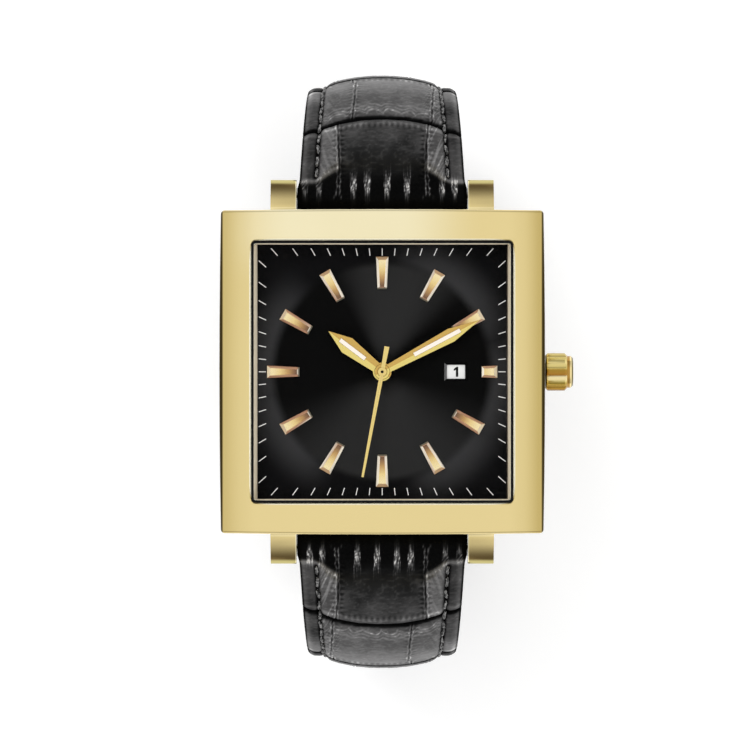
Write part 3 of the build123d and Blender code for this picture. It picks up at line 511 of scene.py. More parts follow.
nodeFinish = {
    "case_middle": "lug", "bezel": "bezel", "crown": "crown", "buckle_frame": "gold", "buckle_tang": "gold",
    "inner_flange": "rose", "hour_marks": "mark",
    "hour_hand": "hourHand", "minute_hand": "minuteHand", "second_hand": "hand",
    "crystal_gasket": "rubber", "crystal": "crystal", "dial": "dial", "date_wheel": "date",
    "hour_hand_inlay": "inlay", "minute_hand_inlay": "inlay", "second_arbor": "pit",
    "hour_wheel_pipe": "movement", "minute_pinion_pipe": "movement", "movement": "movement",
    "movement_holder": "plastic", "battery": "bar", "crown_stem": "bar", "setting_lever": "bar",
    "crown_tube": "bar", "crown_seal": "rubber", "case_back": "steel", "case_back_screws": "bar",
    "case_back_gasket": "rubber", "lug_spring_bars": "bar", "buckle_spring_bar": "bar",
    "strap_top": "strap", "strap_bottom": "strap", "keeper_fixed": "keeper", "keeper_sliding": "keeper",
}
for node, finishName in nodeFinish.items():
    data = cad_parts[node].data
    data.materials.clear()
    data.materials.append(finishes[finishName])
print("finishes set on", len(nodeFinish), "nodes")


# Rounded edges on the metal pieces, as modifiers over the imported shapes

edgeWidths = {  # in millimetres
    "case_middle": 0.16, "bezel": 0.05, "crown": 0.09, "buckle_frame": 0.3, "buckle_tang": 0.22,
    "case_back": 0.06, "hour_marks": 0.015, "hour_hand": 0.012, "minute_hand": 0.012, "second_hand": 0.02,
}
edgeRounding = {"weldWithin": 0.002, "segments": 3, "sharpFrom": 28}
for node, width in edgeWidths.items():
    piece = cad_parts[node]
    weld = piece.modifiers.new("weld", "WELD")
    weld.merge_threshold = edgeRounding["weldWithin"] * mm
    bevel = piece.modifiers.new("roundedEdges", "BEVEL")
    bevel.width, bevel.segments = width * mm, edgeRounding["segments"]
    bevel.limit_method, bevel.angle_limit = "ANGLE", radians(edgeRounding["sharpFrom"])
    bevel.harden_normals = True
    bevel.use_clamp_overlap = True
print("edges rounded on", len(edgeWidths), "nodes")


# Building pieces

def linked(name, data):  # a new object in the scene
    made = bpy.data.objects.new(name, data)
    bpy.context.scene.collection.objects.link(made)
    return made


def makePiece(name, points, faces, finishName, body, replaced=(), smooth=True):
    data = bpy.data.meshes.new(name)
    data.from_pydata([Vector(point) * mm for point in points], [], faces)
    data.validate()
    data.polygons.foreach_set("use_smooth", [smooth] * len(data.polygons))
    data.materials.append(finishes[finishName])
    piece = linked(name, data)
    if body:
        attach(piece, body)
    if replaced:
        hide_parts(*replaced)
    return piece


def tubeFaces(start, rings, sides):  # rings of points joined up, with both ends closed
    faces = []
    for first in range(start, start + (rings - 1) * sides, sides):
        for step in range(sides):
            a, b = first + step, first + (step + 1) % sides
            faces.append((a, b, b + sides, a + sides))
    faces.append(tuple(reversed(range(start, start + sides))))
    faces.append(tuple(range(start + (rings - 1) * sides, start + rings * sides)))
    return faces


def rodCutter(name, centre, axis, radius, length, sides=28):
    turn = Vector((0, 0, 1)).rotation_difference(Vector(axis)).to_matrix()
    points = []
    for end in (-length / 2, length / 2):
        for step in range(sides):
            angle = 2 * pi * step / sides
            points.append(Vector(centre) + turn @ Vector((radius * cos(angle), radius * sin(angle), end)))
    return makePiece(name, points, tubeFaces(0, 2, sides), "rubber", None)


def boxCutter(name, low, high):
    xs, ys, zs = zip(low, high)
    points = [(x, y, z) for z in zs for y in ys for x in xs]
    faces = [(0, 2, 3, 1), (4, 5, 7, 6), (0, 1, 5, 4), (2, 6, 7, 3), (0, 4, 6, 2), (1, 3, 7, 5)]
    return makePiece(name, points, faces, "rubber", None)


def cutAway(piece, cutters):  # takes the cutters out of the piece, and out of the scene
    for cutter in cutters:
        boolean = piece.modifiers.new("cut", "BOOLEAN")
        boolean.operation, boolean.object, boolean.solver = "DIFFERENCE", cutter, "EXACT"
    graph = bpy.context.evaluated_depsgraph_get()
    made = bpy.data.meshes.new_from_object(piece.evaluated_get(graph))
    piece.modifiers.clear()
    piece.data = made
    for cutter in cutters:
        bpy.data.objects.remove(cutter)


def smoothStep(value, start, end):
    share = max(0.0, min(1.0, (value - start) / (end - start)))
    return share * share * (3 - 2 * share)


def bell(distance, width):
    share = distance / width
    return exp(-share * share) if abs(share) < 3 else 0.0


def roundFall(share):  # a quarter circle, from 1 at 0 down to 0 at 1
    return sqrt(max(0.0, 1 - share * share))


# The strap's route: a short run from the bar, then tangent arcs to the flat under the wrist

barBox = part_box("lug_spring_bars")
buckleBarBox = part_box("buckle_spring_bar")
strapRoute = {
    "barReach": (barBox[1].y - (barBox[1].z - barBox[0].z) / 2) / mm,
    "barHeight": (barBox[0].z + barBox[1].z) / 2 / mm,
    "buckleBarY": (buckleBarBox[0].y + buckleBarBox[1].y) / 2 / mm,
    "startAngle": 12.0, "run": 3.4, "shoulderRadius": 12.5, "sideRadius": 25.0, "sideTurn": 50.0,
    "lowRadius": 14.0, "layerPitch": 2.5, "tailPastFlat": 19.0,
}
strapBuild = {
    "lugWidth": 21.74, "lugFit": 0.44, "endWidth": 18.0, "taperLength": 36.0, "stitchInset": 2.1,
    "endThickness": 3.4, "endFade": 12.5, "thickness": 2.4, "lowThickness": 2.2, "tailThickness": 2.0,
    "rise": 1.58, "leastRise": 0.05, "crowning": 0.62, "lipDrop": 0.3,
    "edgeRound": 0.42, "edgeFrom": 1.0, "edgePower": 2.2, "seamSink": 0.24, "seamShade": 0.55,
    "topFade": (22.0, 32.0), "bottomFade": (32.0, 44.0),
    "startRound": 2.05, "eyeRound": 1.35, "tipRound": 0.7, "tailPoint": 8.0, "tailPointWidth": 5.0,
    "holePitch": 6.0, "holeRadius": 1.2, "holesEachWay": 3, "holeFromBar": 1.9, "wornHole": 0.6,
    "fineStep": 0.16, "coarseStep": 0.4, "fineUntil": 21.0, "acrossStep": 0.125, "lowColumns": 26,
    "barBore": 0.95, "buckleBore": 0.8, "tangSlot": (1.05, 1.6, 2.0),
}


def routeSteps(sideRadius):
    route = strapRoute
    shoulderTurn, lowTurn = 90 - route["startAngle"], 90 - route["sideTurn"]
    return [
        (route["run"], 0), (route["shoulderRadius"] * radians(shoulderTurn), shoulderTurn),
        (sideRadius * radians(route["sideTurn"]), route["sideTurn"]),
        (route["lowRadius"] * radians(lowTurn), lowTurn),
    ]


def routePoint(steps, distance):  # reach, height and heading for the 12 o'clock side
    y, z, heading, left = strapRoute["barReach"], strapRoute["barHeight"], strapRoute["startAngle"], distance
    for index, (length, turn) in enumerate(steps):
        part = left if index == len(steps) - 1 else min(left, length)
        if turn and part > 0:
            radius = length / radians(turn)
            end = heading + degrees(part / radius)
            y += radius * (sin(radians(end)) - sin(radians(heading)))
            z -= radius * (cos(radians(heading)) - cos(radians(end)))
            heading = end
        else:
            y += part * cos(radians(heading))
            z -= part * sin(radians(heading))
        left -= part
        if left <= 0:
            break
    return y, z, heading


def routeLength(steps):
    return sum(length for length, turn in steps)


def topRoute():
    bare = routeSteps(strapRoute["sideRadius"])
    return bare + [(routePoint(bare, routeLength(bare))[0] - strapRoute["buckleBarY"], 0)]


def bottomRoute():
    route = strapRoute
    lowTurn = 90 - route["sideTurn"]
    sideRadius = route["sideRadius"] + route["layerPitch"] / cos(radians(lowTurn))
    bare, inner = routeSteps(sideRadius), routeSteps(route["sideRadius"])
    ownY, farY = routePoint(bare, routeLength(bare))[0], routePoint(inner, routeLength(inner))[0]
    lowRadius = route["lowRadius"] + route["layerPitch"]
    lowLength = lowRadius * radians(lowTurn)
    sideLeft = route["tailPastFlat"] - lowLength
    sideTurn = degrees(sideLeft / (route["sideRadius"] + route["layerPitch"]))
    usedHole = routeLength(bare) + ownY + route["buckleBarY"] - strapBuild["holeFromBar"]
    return bare + [(ownY + farY, 0), (lowLength, lowTurn), (sideLeft, sideTurn)], usedHole


def onRoute(steps, side, distance, across, outward):  # a strap point in the watch's millimetres
    y, z, heading = routePoint(steps, distance)
    turn = radians(heading)
    return Vector((across, side * (y + outward * sin(turn)), z + outward * cos(turn)))


# The embossed scale pattern with its painted highlights and shade, in millimetres along and across: lines in
# it are amount, place and width

creaseRows = [8.9, 17.4, 25.6, 33.2, 40.6, 47.6, 54.4, 61.0, 67.4, 73.8, 80.2, 86.8, 93.6, 100.6]
creaseColumns = [(-5.6, 5.7), (-3.8, 6.3), (-6.2, 3.4), (-3.0, 5.4), (-5.4, 2.2), (-2.2, 4.6), (-5.2, 2.8)]
toneLook = {
    # edgeLine is a painted highlight on the edge's rounding
    "edge": 0.34, "edgeCloud": 0.1, "edgeLine": [(0.14, 0.35, 0.4)],
    "scale": 0.5, "firstMiddle": 0.37, "firstSide": 0.57, "pressed": 0.02,
    "caseShades": [(0.16, 1.0, 4.6), (0.12, 4.2, 7.2)],  # painted shade near the case: amount, and the stretch over which each fades
    "edgeLip": [(0.36, 0.15, 0.32)], "scaleLip": [(0.26, 0.15, 0.32)],
}
rowLook = {
    "bow": 1.25, "weakBow": 0.6, "edgeBow": 0.95, "edgeHook": [(0.35, 0, 0.7)], "reach": 3.4,
    "relief": [(-0.42, 0, 0.2), (0.1, -0.55, 0.25)],
    "tone": [(-1.1, 0, 0.2), (-0.1, 0, 0.38), (0.2, -0.72, 0.22)],
    "pleats": [(0.1, -0.95, 0.3)], "pleatTurn": 8.5, "scallopTurn": 1.35, "scallopSway": 1.1,
    "scallops": [(0.62, 0.6, 0.26), (1.15, 0.46, 0.21), (1.7, 0.32, 0.16)],  # reach, depth and painted highlight
    "scallopWidth": 0.13, "scallopRelief": 0.05, "edgeShine": 0.3, "leastShine": 0.5, "shineChange": 1.6,
}
columnLook = {
    "lean": 0.05, "leanPitch": 8, "firstLean": 0.01, "firstLeanFrom": 4, "leftLean": -0.3, "reach": 1.6,
    "ridgeAside": 0.2, "fork": 0.45, "ridgeWidth": 0.1, "ridgeRelief": 0.07, "ridgeTone": 0.34,
    "relief": [(-0.12, 0, 0.09)], "groove": [(-0.22, 0, 0.09)], "haze": [(-0.12, 0, 0.5)],
    "pleats": [(0.11, 0.55, 0.3)], "pleatTurn": 11,
}
foldLook = {
    "fans": [  # each fan's place across, reach and painted shine
        (-9.9, 1.2, 0.5), (-8.1, 1.4, 0.6), (-3.7, 2.3, 1.0), (-1.9, 2.5, 1.0),
        (0.65, 2.6, 1.0), (3.2, 2.4, 1.0), (7.7, 1.5, 0.9), (9.3, 1.2, 0.8),
    ],
    "strands": (-0.5, -0.2, 0.04, 0.24, 0.5), "until": 4.5, "spread": 0.55, "widening": 0.1, "sway": 0.03,
    "width": 0.062, "widthChange": 0.02, "relief": 0.09, "tone": 1.25, "leastShine": 0.5, "shineChange": 1.4,
}
wrinkleLook = {
    "from": 4.6, "to": 7.0, "slant": 1.25, "fall": 0.62, "leftSlant": 0.9, "leftShare": 0.5,
    "width": 0.14, "relief": 0.07, "tone": 0.26, "ground": 0.05,
}
sheenLook = {  # stretches are amount, start and end
    "vein": 0.08, "veinWidth": 0.12, "cloud": 0.1, "middle": (0.03, 9.5, 14.5),
    "edgeGlow": (0.24, 10.5, 15.0), "scaleGlow": (0.16, 12.0, 15.8), "glowEnd": (1, 17.0, 21.0),
    "shade": (0.36, 16.1, 16.9), "shadeEnd": (1, 17.6, 18.8), "rim": [(0.5, 0, 0.16)],
    "unevenness": 0.025, "grain": 0.014,
}


def lines(gap, marks):
    return sum(amount * bell(gap - place, width) for amount, place, width in marks)


def rising(along, stretch):
    amount, start, end = stretch
    return amount * smoothStep(along, start, end)


def fading(along, stretch):
    return stretch[0] - rising(along, stretch)


def ripple(along, across, scale, seed):
    return noise.noise(Vector((along * scale, across * scale, seed)))


def lipAt(across, half):  # where the padding starts, nearer the case at the edges
    return 1.15 + 1.75 * smoothStep(half - abs(across), 1.6, 5.2)


class Spot:  # a place on the strap, and the scale that it is on
    def __init__(self, along, across, half, inset):
        self.along, self.across, self.half = along, across, half
        self.sideways = abs(across) / half
        self.outside = abs(across) > half - inset
        self.lip = lipAt(across, half)
        self.wander = 0.3 * ripple(along, across, 0.16, 3.1) + 0.08 * ripple(along, across, 0.9, 5.7)
        self.row = sum(along >= row - 0.9 * self.sideways ** 2 for row in creaseRows)
        self.columns = creaseColumns[self.row % len(creaseColumns)]
        self.central = self.columns[0] < across < self.columns[-1]
        padFrom, padTo = (0.0, 3.9) if self.central else (self.lip - 0.35, self.lip + 0.5)
        self.padded = smoothStep(along, padFrom, padTo)


def plainTone(spot):  # the leather's tone before any crease or fold, with painted shade by the case and painted highlights along the edges and the padding's lip
    look, along, across = toneLook, spot.along, spot.across
    tone = look["scale"]
    if spot.outside:
        tone = look["edge"] + look["edgeCloud"] * ripple(along, across, 0.4, 8.0)
        tone += lines(spot.half - abs(across), look["edgeLine"])
    elif spot.row == 0 and spot.central:
        tone = look["firstMiddle"] - sum(fading(along, shade) for shade in look["caseShades"])
    elif spot.row == 0:
        tone = look["firstSide"]
    tone = look["pressed"] + (tone - look["pressed"]) * spot.padded
    if spot.outside or not spot.central:
        tone += lines(along - spot.lip, look["edgeLip"] if spot.outside else look["scaleLip"])
    return tone


def rowCreases(spot):  # grooves across the strap, with scalloped lines beyond; painted shade in the grooves, painted highlights on the swells and lines
    look, along, across = rowLook, spot.along, spot.across
    relief = tone = 0.0
    for index, row in enumerate(creaseRows):
        bow = look["bow"] * spot.sideways ** 2 * (1 if index % 2 == 0 else look["weakBow"])
        if spot.outside:
            bow = look["edgeBow"] + lines(spot.half - abs(across), look["edgeHook"])
        gap = along - row + bow - spot.wander / 2
        if abs(gap) >= look["reach"]:
            continue
        relief += lines(gap, look["relief"])
        tone += lines(gap, look["tone"])
        if spot.central:
            tone += lines(gap, look["pleats"]) * sin(across * look["pleatTurn"])
        sway = look["scallopSway"] * ripple(along, across, 0.5, index)
        wave = abs(sin(across * look["scallopTurn"] + sway))
        for step, (reach, depth, shown) in enumerate(look["scallops"]):
            line = bell(gap - reach - depth * wave, look["scallopWidth"])
            shine = look["leastShine"] + look["shineChange"] * abs(ripple(along, across, 1.1, step))
            relief += look["scallopRelief"] * line
            tone += shown * line * (look["edgeShine"] if spot.outside else shine)
    return relief, tone


def columnCreases(spot):  # grooves along the strap, each between two ridges, with painted highlights on the ridges and painted shade in the grooves
    look, along, across = columnLook, spot.along, spot.across
    relief = tone = 0.0
    for column in spot.columns:
        lean = look["lean"] * (along % look["leanPitch"])
        if spot.row == 0:
            lean = look["firstLean"] * (along - look["firstLeanFrom"]) ** 2
            lean *= 1 if column > 0 else look["leftLean"]
        gap = across - column - 0.6 * spot.wander - lean - 0.1 * ripple(along, column, 1.6, 9.0)
        if abs(gap) >= look["reach"]:
            continue
        shown = smoothStep(along, -1.2, -0.4) * (1 + 1.1 * bell(along - 0.4, 1.9))
        apart = look["ridgeAside"] + look["fork"] * (1 - smoothStep(along, -1.1, 0.1))
        apart *= 1 + 0.3 * sin(along * 5 + column)
        for hand in (-1, 1):
            ridge = bell(gap - hand * apart, look["ridgeWidth"]) * shown
            worn = 0.8 + 0.9 * ripple(along, column, 3.0, hand * look["ridgeAside"])
            relief += look["ridgeRelief"] * ridge
            tone += look["ridgeTone"] * ridge * worn
        pleat = sin(along * look["pleatTurn"] + 2 * ripple(along, across, 1.0, 4.0))
        relief += lines(gap, look["relief"])
        tone += lines(gap, look["groove"]) * smoothStep(along, spot.lip, spot.lip + 1.5)
        tone += (lines(gap, look["haze"]) + pleat * lines(abs(gap), look["pleats"])) * spot.padded
    return relief, tone


def foldShine(spot):  # fans of fine folds beside the case, with painted highlight streaks along them
    look, along, across = foldLook, spot.along, spot.across
    relief = tone = 0.0
    if along >= look["until"]:
        return relief, tone
    for fold, reach, shine in look["fans"]:
        near = bell(along - reach * 0.4 + 0.25, 1.0 + 0.3 * reach)
        for strand, offset in enumerate(look["strands"]):
            bent = fold + offset * (look["spread"] + look["widening"] * along)
            bent += look["sway"] * sin(along * 3.1 + fold * 3 + strand)
            width = look["width"] + look["widthChange"] * ripple(along, bent, 2.2, strand)
            thin = near * bell(across - bent, width)
            middle = reach * 0.4 + 0.6 * sin(fold * 7 + strand * 2.6)
            lit = bell(along - middle, 0.9 + 0.6 * reach / (1 + strand % 2))
            broken = abs(ripple(along * 1.3, fold, 1.9, strand + 0.5))
            relief += look["relief"] * thin
            tone += look["tone"] * shine * thin * lit * (look["leastShine"] + look["shineChange"] * broken)
    return relief, tone


def sideWrinkles(spot):  # slanting, on the scales beside the middle ones, with painted highlights on their crests
    look, along, across, right = wrinkleLook, spot.along, abs(spot.across), spot.across > 0
    flank = smoothStep(across, look["from"], look["to"]) * spot.padded
    slant = (across * look["slant"] - along * look["fall"]) * (1 if right else look["leftSlant"])
    line = abs(ripple(slant * 1.9, (across + along) * 0.11, 1.0, 2.0))
    crest = max(0.0, look["width"] - line) / look["width"]
    tone = (look["tone"] * crest - look["ground"]) * (1.0 if right else look["leftShare"])
    return look["relief"] * crest * flank, tone * flank


def leatherSheen(spot):  # veins and unevenness, with painted sheen where the strap bends, a painted dark band where it turns away, and painted dark rims
    look, along, across = sheenLook, spot.along, spot.across
    line = abs(ripple(along * 1.7, across * 0.55, 1.0, 11.0))
    vein = max(0.0, look["veinWidth"] - line) / look["veinWidth"]
    tone = (look["vein"] * vein + look["cloud"] * ripple(along, across, 0.5, 12.0)) * spot.padded
    tone += rising(along, look["middle"]) * (1 - spot.sideways)
    glow = look["edgeGlow"] if spot.outside else look["scaleGlow"]
    tone += rising(along, glow) * fading(along, look["glowEnd"])
    tone -= rising(along, look["shade"]) * fading(along, look["shadeEnd"])
    tone -= lines(spot.half - abs(across), look["rim"])
    relief = look["unevenness"] * ripple(along, across, 1.3, 7.0)
    return relief + look["grain"] * ripple(along, across, 4.2, 1.0), tone


def strapMarks(along, across, half, inset):  # relief in millimetres, and tone from 0 dark to 1 light, which carries painted highlights and painted shade
    spot = Spot(along, across, half, inset)
    relief, tone = 0.0, plainTone(spot)
    kinds = [rowCreases, foldShine, leatherSheen]
    if not spot.outside:
        kinds += [columnCreases, sideWrinkles]
    for kind in kinds:
        moreRelief, moreTone = kind(spot)
        relief += moreRelief
        tone += moreTone
    return relief, max(0.0, min(1.0, tone))


def strapWidth(distance):
    build = strapBuild
    left = 1 - max(0.0, min(1.0, distance / build["taperLength"]))
    first = build["lugWidth"] - build["lugFit"] * smoothStep(distance, 0.5, 1.7)
    return build["endWidth"] + (first - build["endWidth"]) * left ** 1.5


def strapThickness(distance, later, end):
    build = strapBuild
    thinned = smoothStep(distance, 0.9, build["endFade"])
    first = build["endThickness"] + (build["thickness"] - build["endThickness"]) * thinned
    return first + (later - build["thickness"]) * smoothStep(distance, end / 2, end * 2 / 3)


def surfaceHeight(along, across, half, thickness, fade):
    build = strapBuild
    inset = min(build["stitchInset"], half / 2)
    seam = abs(across) - half + inset
    share = min(1.0, abs(across) / (half - inset))
    lip = lipAt(across, half)
    grown = smoothStep(along, lip - 0.5, lip + 0.5 + 2.0 * (1 - share * share))
    rise = max(build["leastRise"], build["rise"] * grown * (1 - smoothStep(along, *fade)))
    height = thickness / 2 + rise * (1 - share * share) ** build["crowning"]
    height -= build["lipDrop"] * (1 - grown) * smoothStep(along, -1.5, 0.5)
    height -= build["edgeRound"] * max(0.0, abs(across) - half + build["edgeFrom"]) ** build["edgePower"]
    height -= build["seamSink"] * bell(seam, 0.34) * smoothStep(along, 1.3, 2.0)
    relief, tone = strapMarks(along, across, half, inset)
    # painted shade along the stitched seam
    tone -= build["seamShade"] * bell(seam, 0.3) * smoothStep(along, 1.5, 2.0)
    return height + relief * smoothStep(along, -0.6, 1.2), max(0.0, tone)


def spacedBetween(start, end, step):
    count = max(1, round((end - start) / step))
    return [start + (end - start) * index / count for index in range(count + 1)]


def strapRows(strap):  # where the cross-sections lie along the route
    build, end, pointed = strapBuild, strap["end"], strap["pointed"]
    rows = [-build["startRound"] * cos(radians(angle)) for angle in (4, 12, 22, 33, 45, 57, 70, 82)]
    rows += spacedBetween(0, build["fineUntil"], build["fineStep"])
    last = end - build["tipRound"] if pointed else end
    rows += spacedBetween(build["fineUntil"], last, build["coarseStep"])[1:]
    endRound, angles = build["eyeRound"], (20, 38, 54, 68, 79, 86)
    if pointed:
        endRound, angles = build["tipRound"], (25, 45, 62, 76, 86)
    return rows + [last + endRound * sin(radians(angle)) for angle in angles]


def strapSection(strap, along):  # half width, thickness, and the squeeze that rounds off the ends
    build, end, pointed = strapBuild, strap["end"], strap["pointed"]
    held = max(0.0, min(along, end))
    half = strapWidth(held) / 2
    thickness = strapThickness(held, strap["laterThickness"], strap["bendEnd"])
    squeeze = roundFall(along / build["startRound"]) if along < 0 else 1.0
    if pointed:
        if along > end - build["tailPoint"]:
            share = min(1.0, (along - end + build["tailPoint"]) / build["tailPoint"])
            half -= (build["endWidth"] - build["tailPointWidth"]) / 2 * (1 - roundFall(share))
        if along > end - build["tipRound"]:
            squeeze = max(0.12, roundFall((along - end + build["tipRound"]) / build["tipRound"]))
    else:
        thickness += (2 * build["eyeRound"] - thickness) * smoothStep(along, end - 2.5, end - 0.4)
        if along > end:
            squeeze = roundFall((along - end) / build["eyeRound"])
    return half, thickness, squeeze


def strapRing(strap, along):  # one cross-section's points: across, outward and tone
    build = strapBuild
    half, thickness, squeeze = strapSection(strap, along)
    columns, lowColumns = round(build["lugWidth"] / build["acrossStep"]), build["lowColumns"]
    upper = []
    for index in range(columns + 1):
        across = half * (2 * index / columns - 1)
        height, tone = surfaceHeight(along, across, half, thickness, strap["fade"])
        upper.append((across, height * squeeze, tone))
    top, low = upper[-1][1], -thickness / 2 * squeeze
    flank = [
        (half + 0.07, top - 0.16 * squeeze, 0.1), (half + 0.07, low + 0.22 * squeeze, 0.1),
        (half - 0.03, low + 0.07 * squeeze, 0.2),
    ]
    lower = [((half - 0.2) * (1 - 2 * index / lowColumns), low, 0.34) for index in range(lowColumns + 1)]
    return upper + flank + lower + [(-across, outward, tone) for across, outward, tone in reversed(flank)]


def strapHalf(name, strap, cutters, replaced):
    rows = strapRows(strap)
    points, mapped, tones = [], [], []
    for along in rows:
        ring = strapRing(strap, along)
        for across, outward, tone in ring:
            points.append(onRoute(strap["steps"], strap["side"], along, strap["side"] * across, outward))
            mapped.append((across / 100, along / 100))
            tones.append(tone)
    piece = makePiece(name, points, tubeFaces(0, len(rows), len(ring)), "strap", None)
    piece.data.attributes.new("tone", "FLOAT", "POINT").data.foreach_set("value", tones)
    layer = piece.data.uv_layers.new(name="strapMap")
    for loop in piece.data.loops:
        layer.data[loop.index].uv = mapped[loop.vertex_index]
    cutAway(piece, cutters)
    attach(piece, "case")
    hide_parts(replaced)
    print(name, "made with", len(piece.data.polygons), "faces")


topSteps = topRoute()
bottomSteps, usedHole = bottomRoute()
topHalf = {
    "steps": topSteps, "side": 1, "end": routeLength(topSteps), "pointed": False,
    "fade": strapBuild["topFade"], "laterThickness": strapBuild["lowThickness"],
    "bendEnd": routeLength(topSteps),
}
bottomHalf = {
    "steps": bottomSteps, "side": -1, "end": routeLength(bottomSteps), "pointed": True,
    "fade": strapBuild["bottomFade"], "laterThickness": strapBuild["tailThickness"],
    "bendEnd": routeLength(bottomSteps) / 2,
}


def strapTop():
    flatHeight = routePoint(topSteps, topHalf["end"])[1]
    barY, barZ, buckleY = strapRoute["barReach"], strapRoute["barHeight"], strapRoute["buckleBarY"]
    middle, slotHalf = Vector((0, buckleY, flatHeight)), Vector(strapBuild["tangSlot"])
    cutters = [
        rodCutter("topBarBore", (0, barY, barZ), (1, 0, 0), strapBuild["barBore"], 40),
        rodCutter("buckleBarBore", middle, (1, 0, 0), strapBuild["buckleBore"], 40),
        boxCutter("tangSlot", middle - slotHalf, middle + slotHalf),
    ]
    strapHalf("strap_top_leather", topHalf, cutters, "strap_top")


def strapBottom():
    bar = (0, -strapRoute["barReach"], strapRoute["barHeight"])
    cutters = [rodCutter("bottomBarBore", bar, (1, 0, 0), strapBuild["barBore"], 40)]
    holes = [usedHole + strapBuild["wornHole"]]  # the used hole is worn long, so the tang can lift in it
    for step in range(-strapBuild["holesEachWay"], strapBuild["holesEachWay"] + 1):
        holes.append(usedHole + step * strapBuild["holePitch"])
    for hole in holes:
        centre = onRoute(bottomSteps, -1, hole, 0, 0)
        outward = onRoute(bottomSteps, -1, hole, 0, 1) - centre
        cutters.append(rodCutter("hole", centre, outward, strapBuild["holeRadius"], 6))
    strapHalf("strap_bottom_leather", bottomHalf, cutters, "strap_bottom")


strapTop()
strapBottom()


# Stitching: a row of short twisted stitches beside each edge

stitching = {
    "pitch": 1.5, "length": 1.3, "radius": 0.19, "from": 1.75, "rings": 9, "sides": 8,
    "seat": 0.16, "dip": 0.3, "flatness": 0.85, "ply": 0.34, "topStop": 3, "bottomStop": 9,
}


def stitchRow(strap, end, hand):  # one row's points, ring by ring
    look, points = stitching, []
    for index in range(int((end - look["from"]) / look["pitch"])):
        middle = look["from"] + (index + 0.5) * look["pitch"]
        lean = 0.13 * sin(index * 2.3) + 0.05 * sin(index * 5.1)
        for ring in range(look["rings"]):
            share = 2 * ring / (look["rings"] - 1) - 1
            along = middle + share * look["length"] / 2
            across = hand * (strapWidth(along) / 2 - strapBuild["stitchInset"]) + lean * share
            base = strapThickness(along, strap["laterThickness"], strap["bendEnd"]) / 2 - look["seat"]
            base += look["radius"] * 0.75 - look["dip"] * abs(share) ** 4
            swell = look["radius"] * (1 - abs(share) ** 5 * 0.55) * (1 + 0.1 * sin(index * 1.7))
            for step in range(look["sides"]):
                angle = 2 * pi * step / look["sides"] + share * 1.5
                twist = abs(sin(angle - share * 3.6 + index)) * (1 + 0.4 * sin(share * 7 + index * 3.3))
                radius = swell * (1 + look["ply"] * twist)
                outward, offset = base + radius * sin(angle) * look["flatness"], across + radius * cos(angle)
                points.append(onRoute(strap["steps"], strap["side"], along, strap["side"] * offset, outward))
    return points


def stitches(name, strap, end):
    points, faces = stitchRow(strap, end, 1) + stitchRow(strap, end, -1), []
    for start in range(0, len(points), stitching["rings"] * stitching["sides"]):
        faces += tubeFaces(start, stitching["rings"], stitching["sides"])
    makePiece(name, points, faces, "thread", "case")


stitches("strap_top_stitches", topHalf, topHalf["end"] - stitching["topStop"])
stitches("strap_bottom_stitches", bottomHalf, bottomHalf["end"] - stitching["bottomStop"])
print("stitches sewn")


# Keepers: leather loops with rounded edges

keeperBuild = {
    "sideWall": 1.3, "topWall": 1.2, "lowWall": 1.54, "outerRadius": 1.5, "innerRadius": 0.35, "edge": 0.42,
    "crowning": 0.16, "creaseAt": 0.66, "creaseWidth": 0.1, "creaseDepth": 0.12,
    "cornerSteps": 8, "sideSteps": 10, "edgeSteps": 4, "faceSteps": 12,
}


def roundedLoop(low, high, radius):
    points, arcs = [], []
    cornerSteps, sideSteps = keeperBuild["cornerSteps"], keeperBuild["sideSteps"]
    corners = [(high[0], high[1], 0), (low[0], high[1], 90), (low[0], low[1], 180), (high[0], low[1], 270)]
    for x, z, first in corners:
        cx = x - radius if first in (0, 270) else x + radius
        cz = z - radius if first in (0, 90) else z + radius
        angles = [radians(first + 90 * step / cornerSteps) for step in range(cornerSteps + 1)]
        arcs.append([(cx + radius * cos(angle), cz + radius * sin(angle)) for angle in angles])
    for index, arc in enumerate(arcs):
        points += arc
        start, end = arc[-1], arcs[(index + 1) % 4][0]
        for step in range(1, sideSteps):
            share = step / sideSteps
            points.append((start[0] + (end[0] - start[0]) * share, start[1] + (end[1] - start[1]) * share))
    return points


def keeperProfile():  # the rounded edges, then the domed outside with its lines
    build, edges, outside = keeperBuild, [], []
    for first, outer, side in ((0, 1, 1), (90, -1, 1), (180, -1, -1), (270, 1, -1)):
        for step in range(build["edgeSteps"] + 1):
            angle = radians(first + 90 * step / build["edgeSteps"])
            edges.append((cos(angle), sin(angle), outer, side))
    for step in range(1 - build["faceSteps"], build["faceSteps"]):
        share = step / build["faceSteps"]
        crease = build["creaseDepth"] * bell(abs(share) - build["creaseAt"], build["creaseWidth"])
        outside.append((share, build["crowning"] * share * share + crease))
    return edges, outside


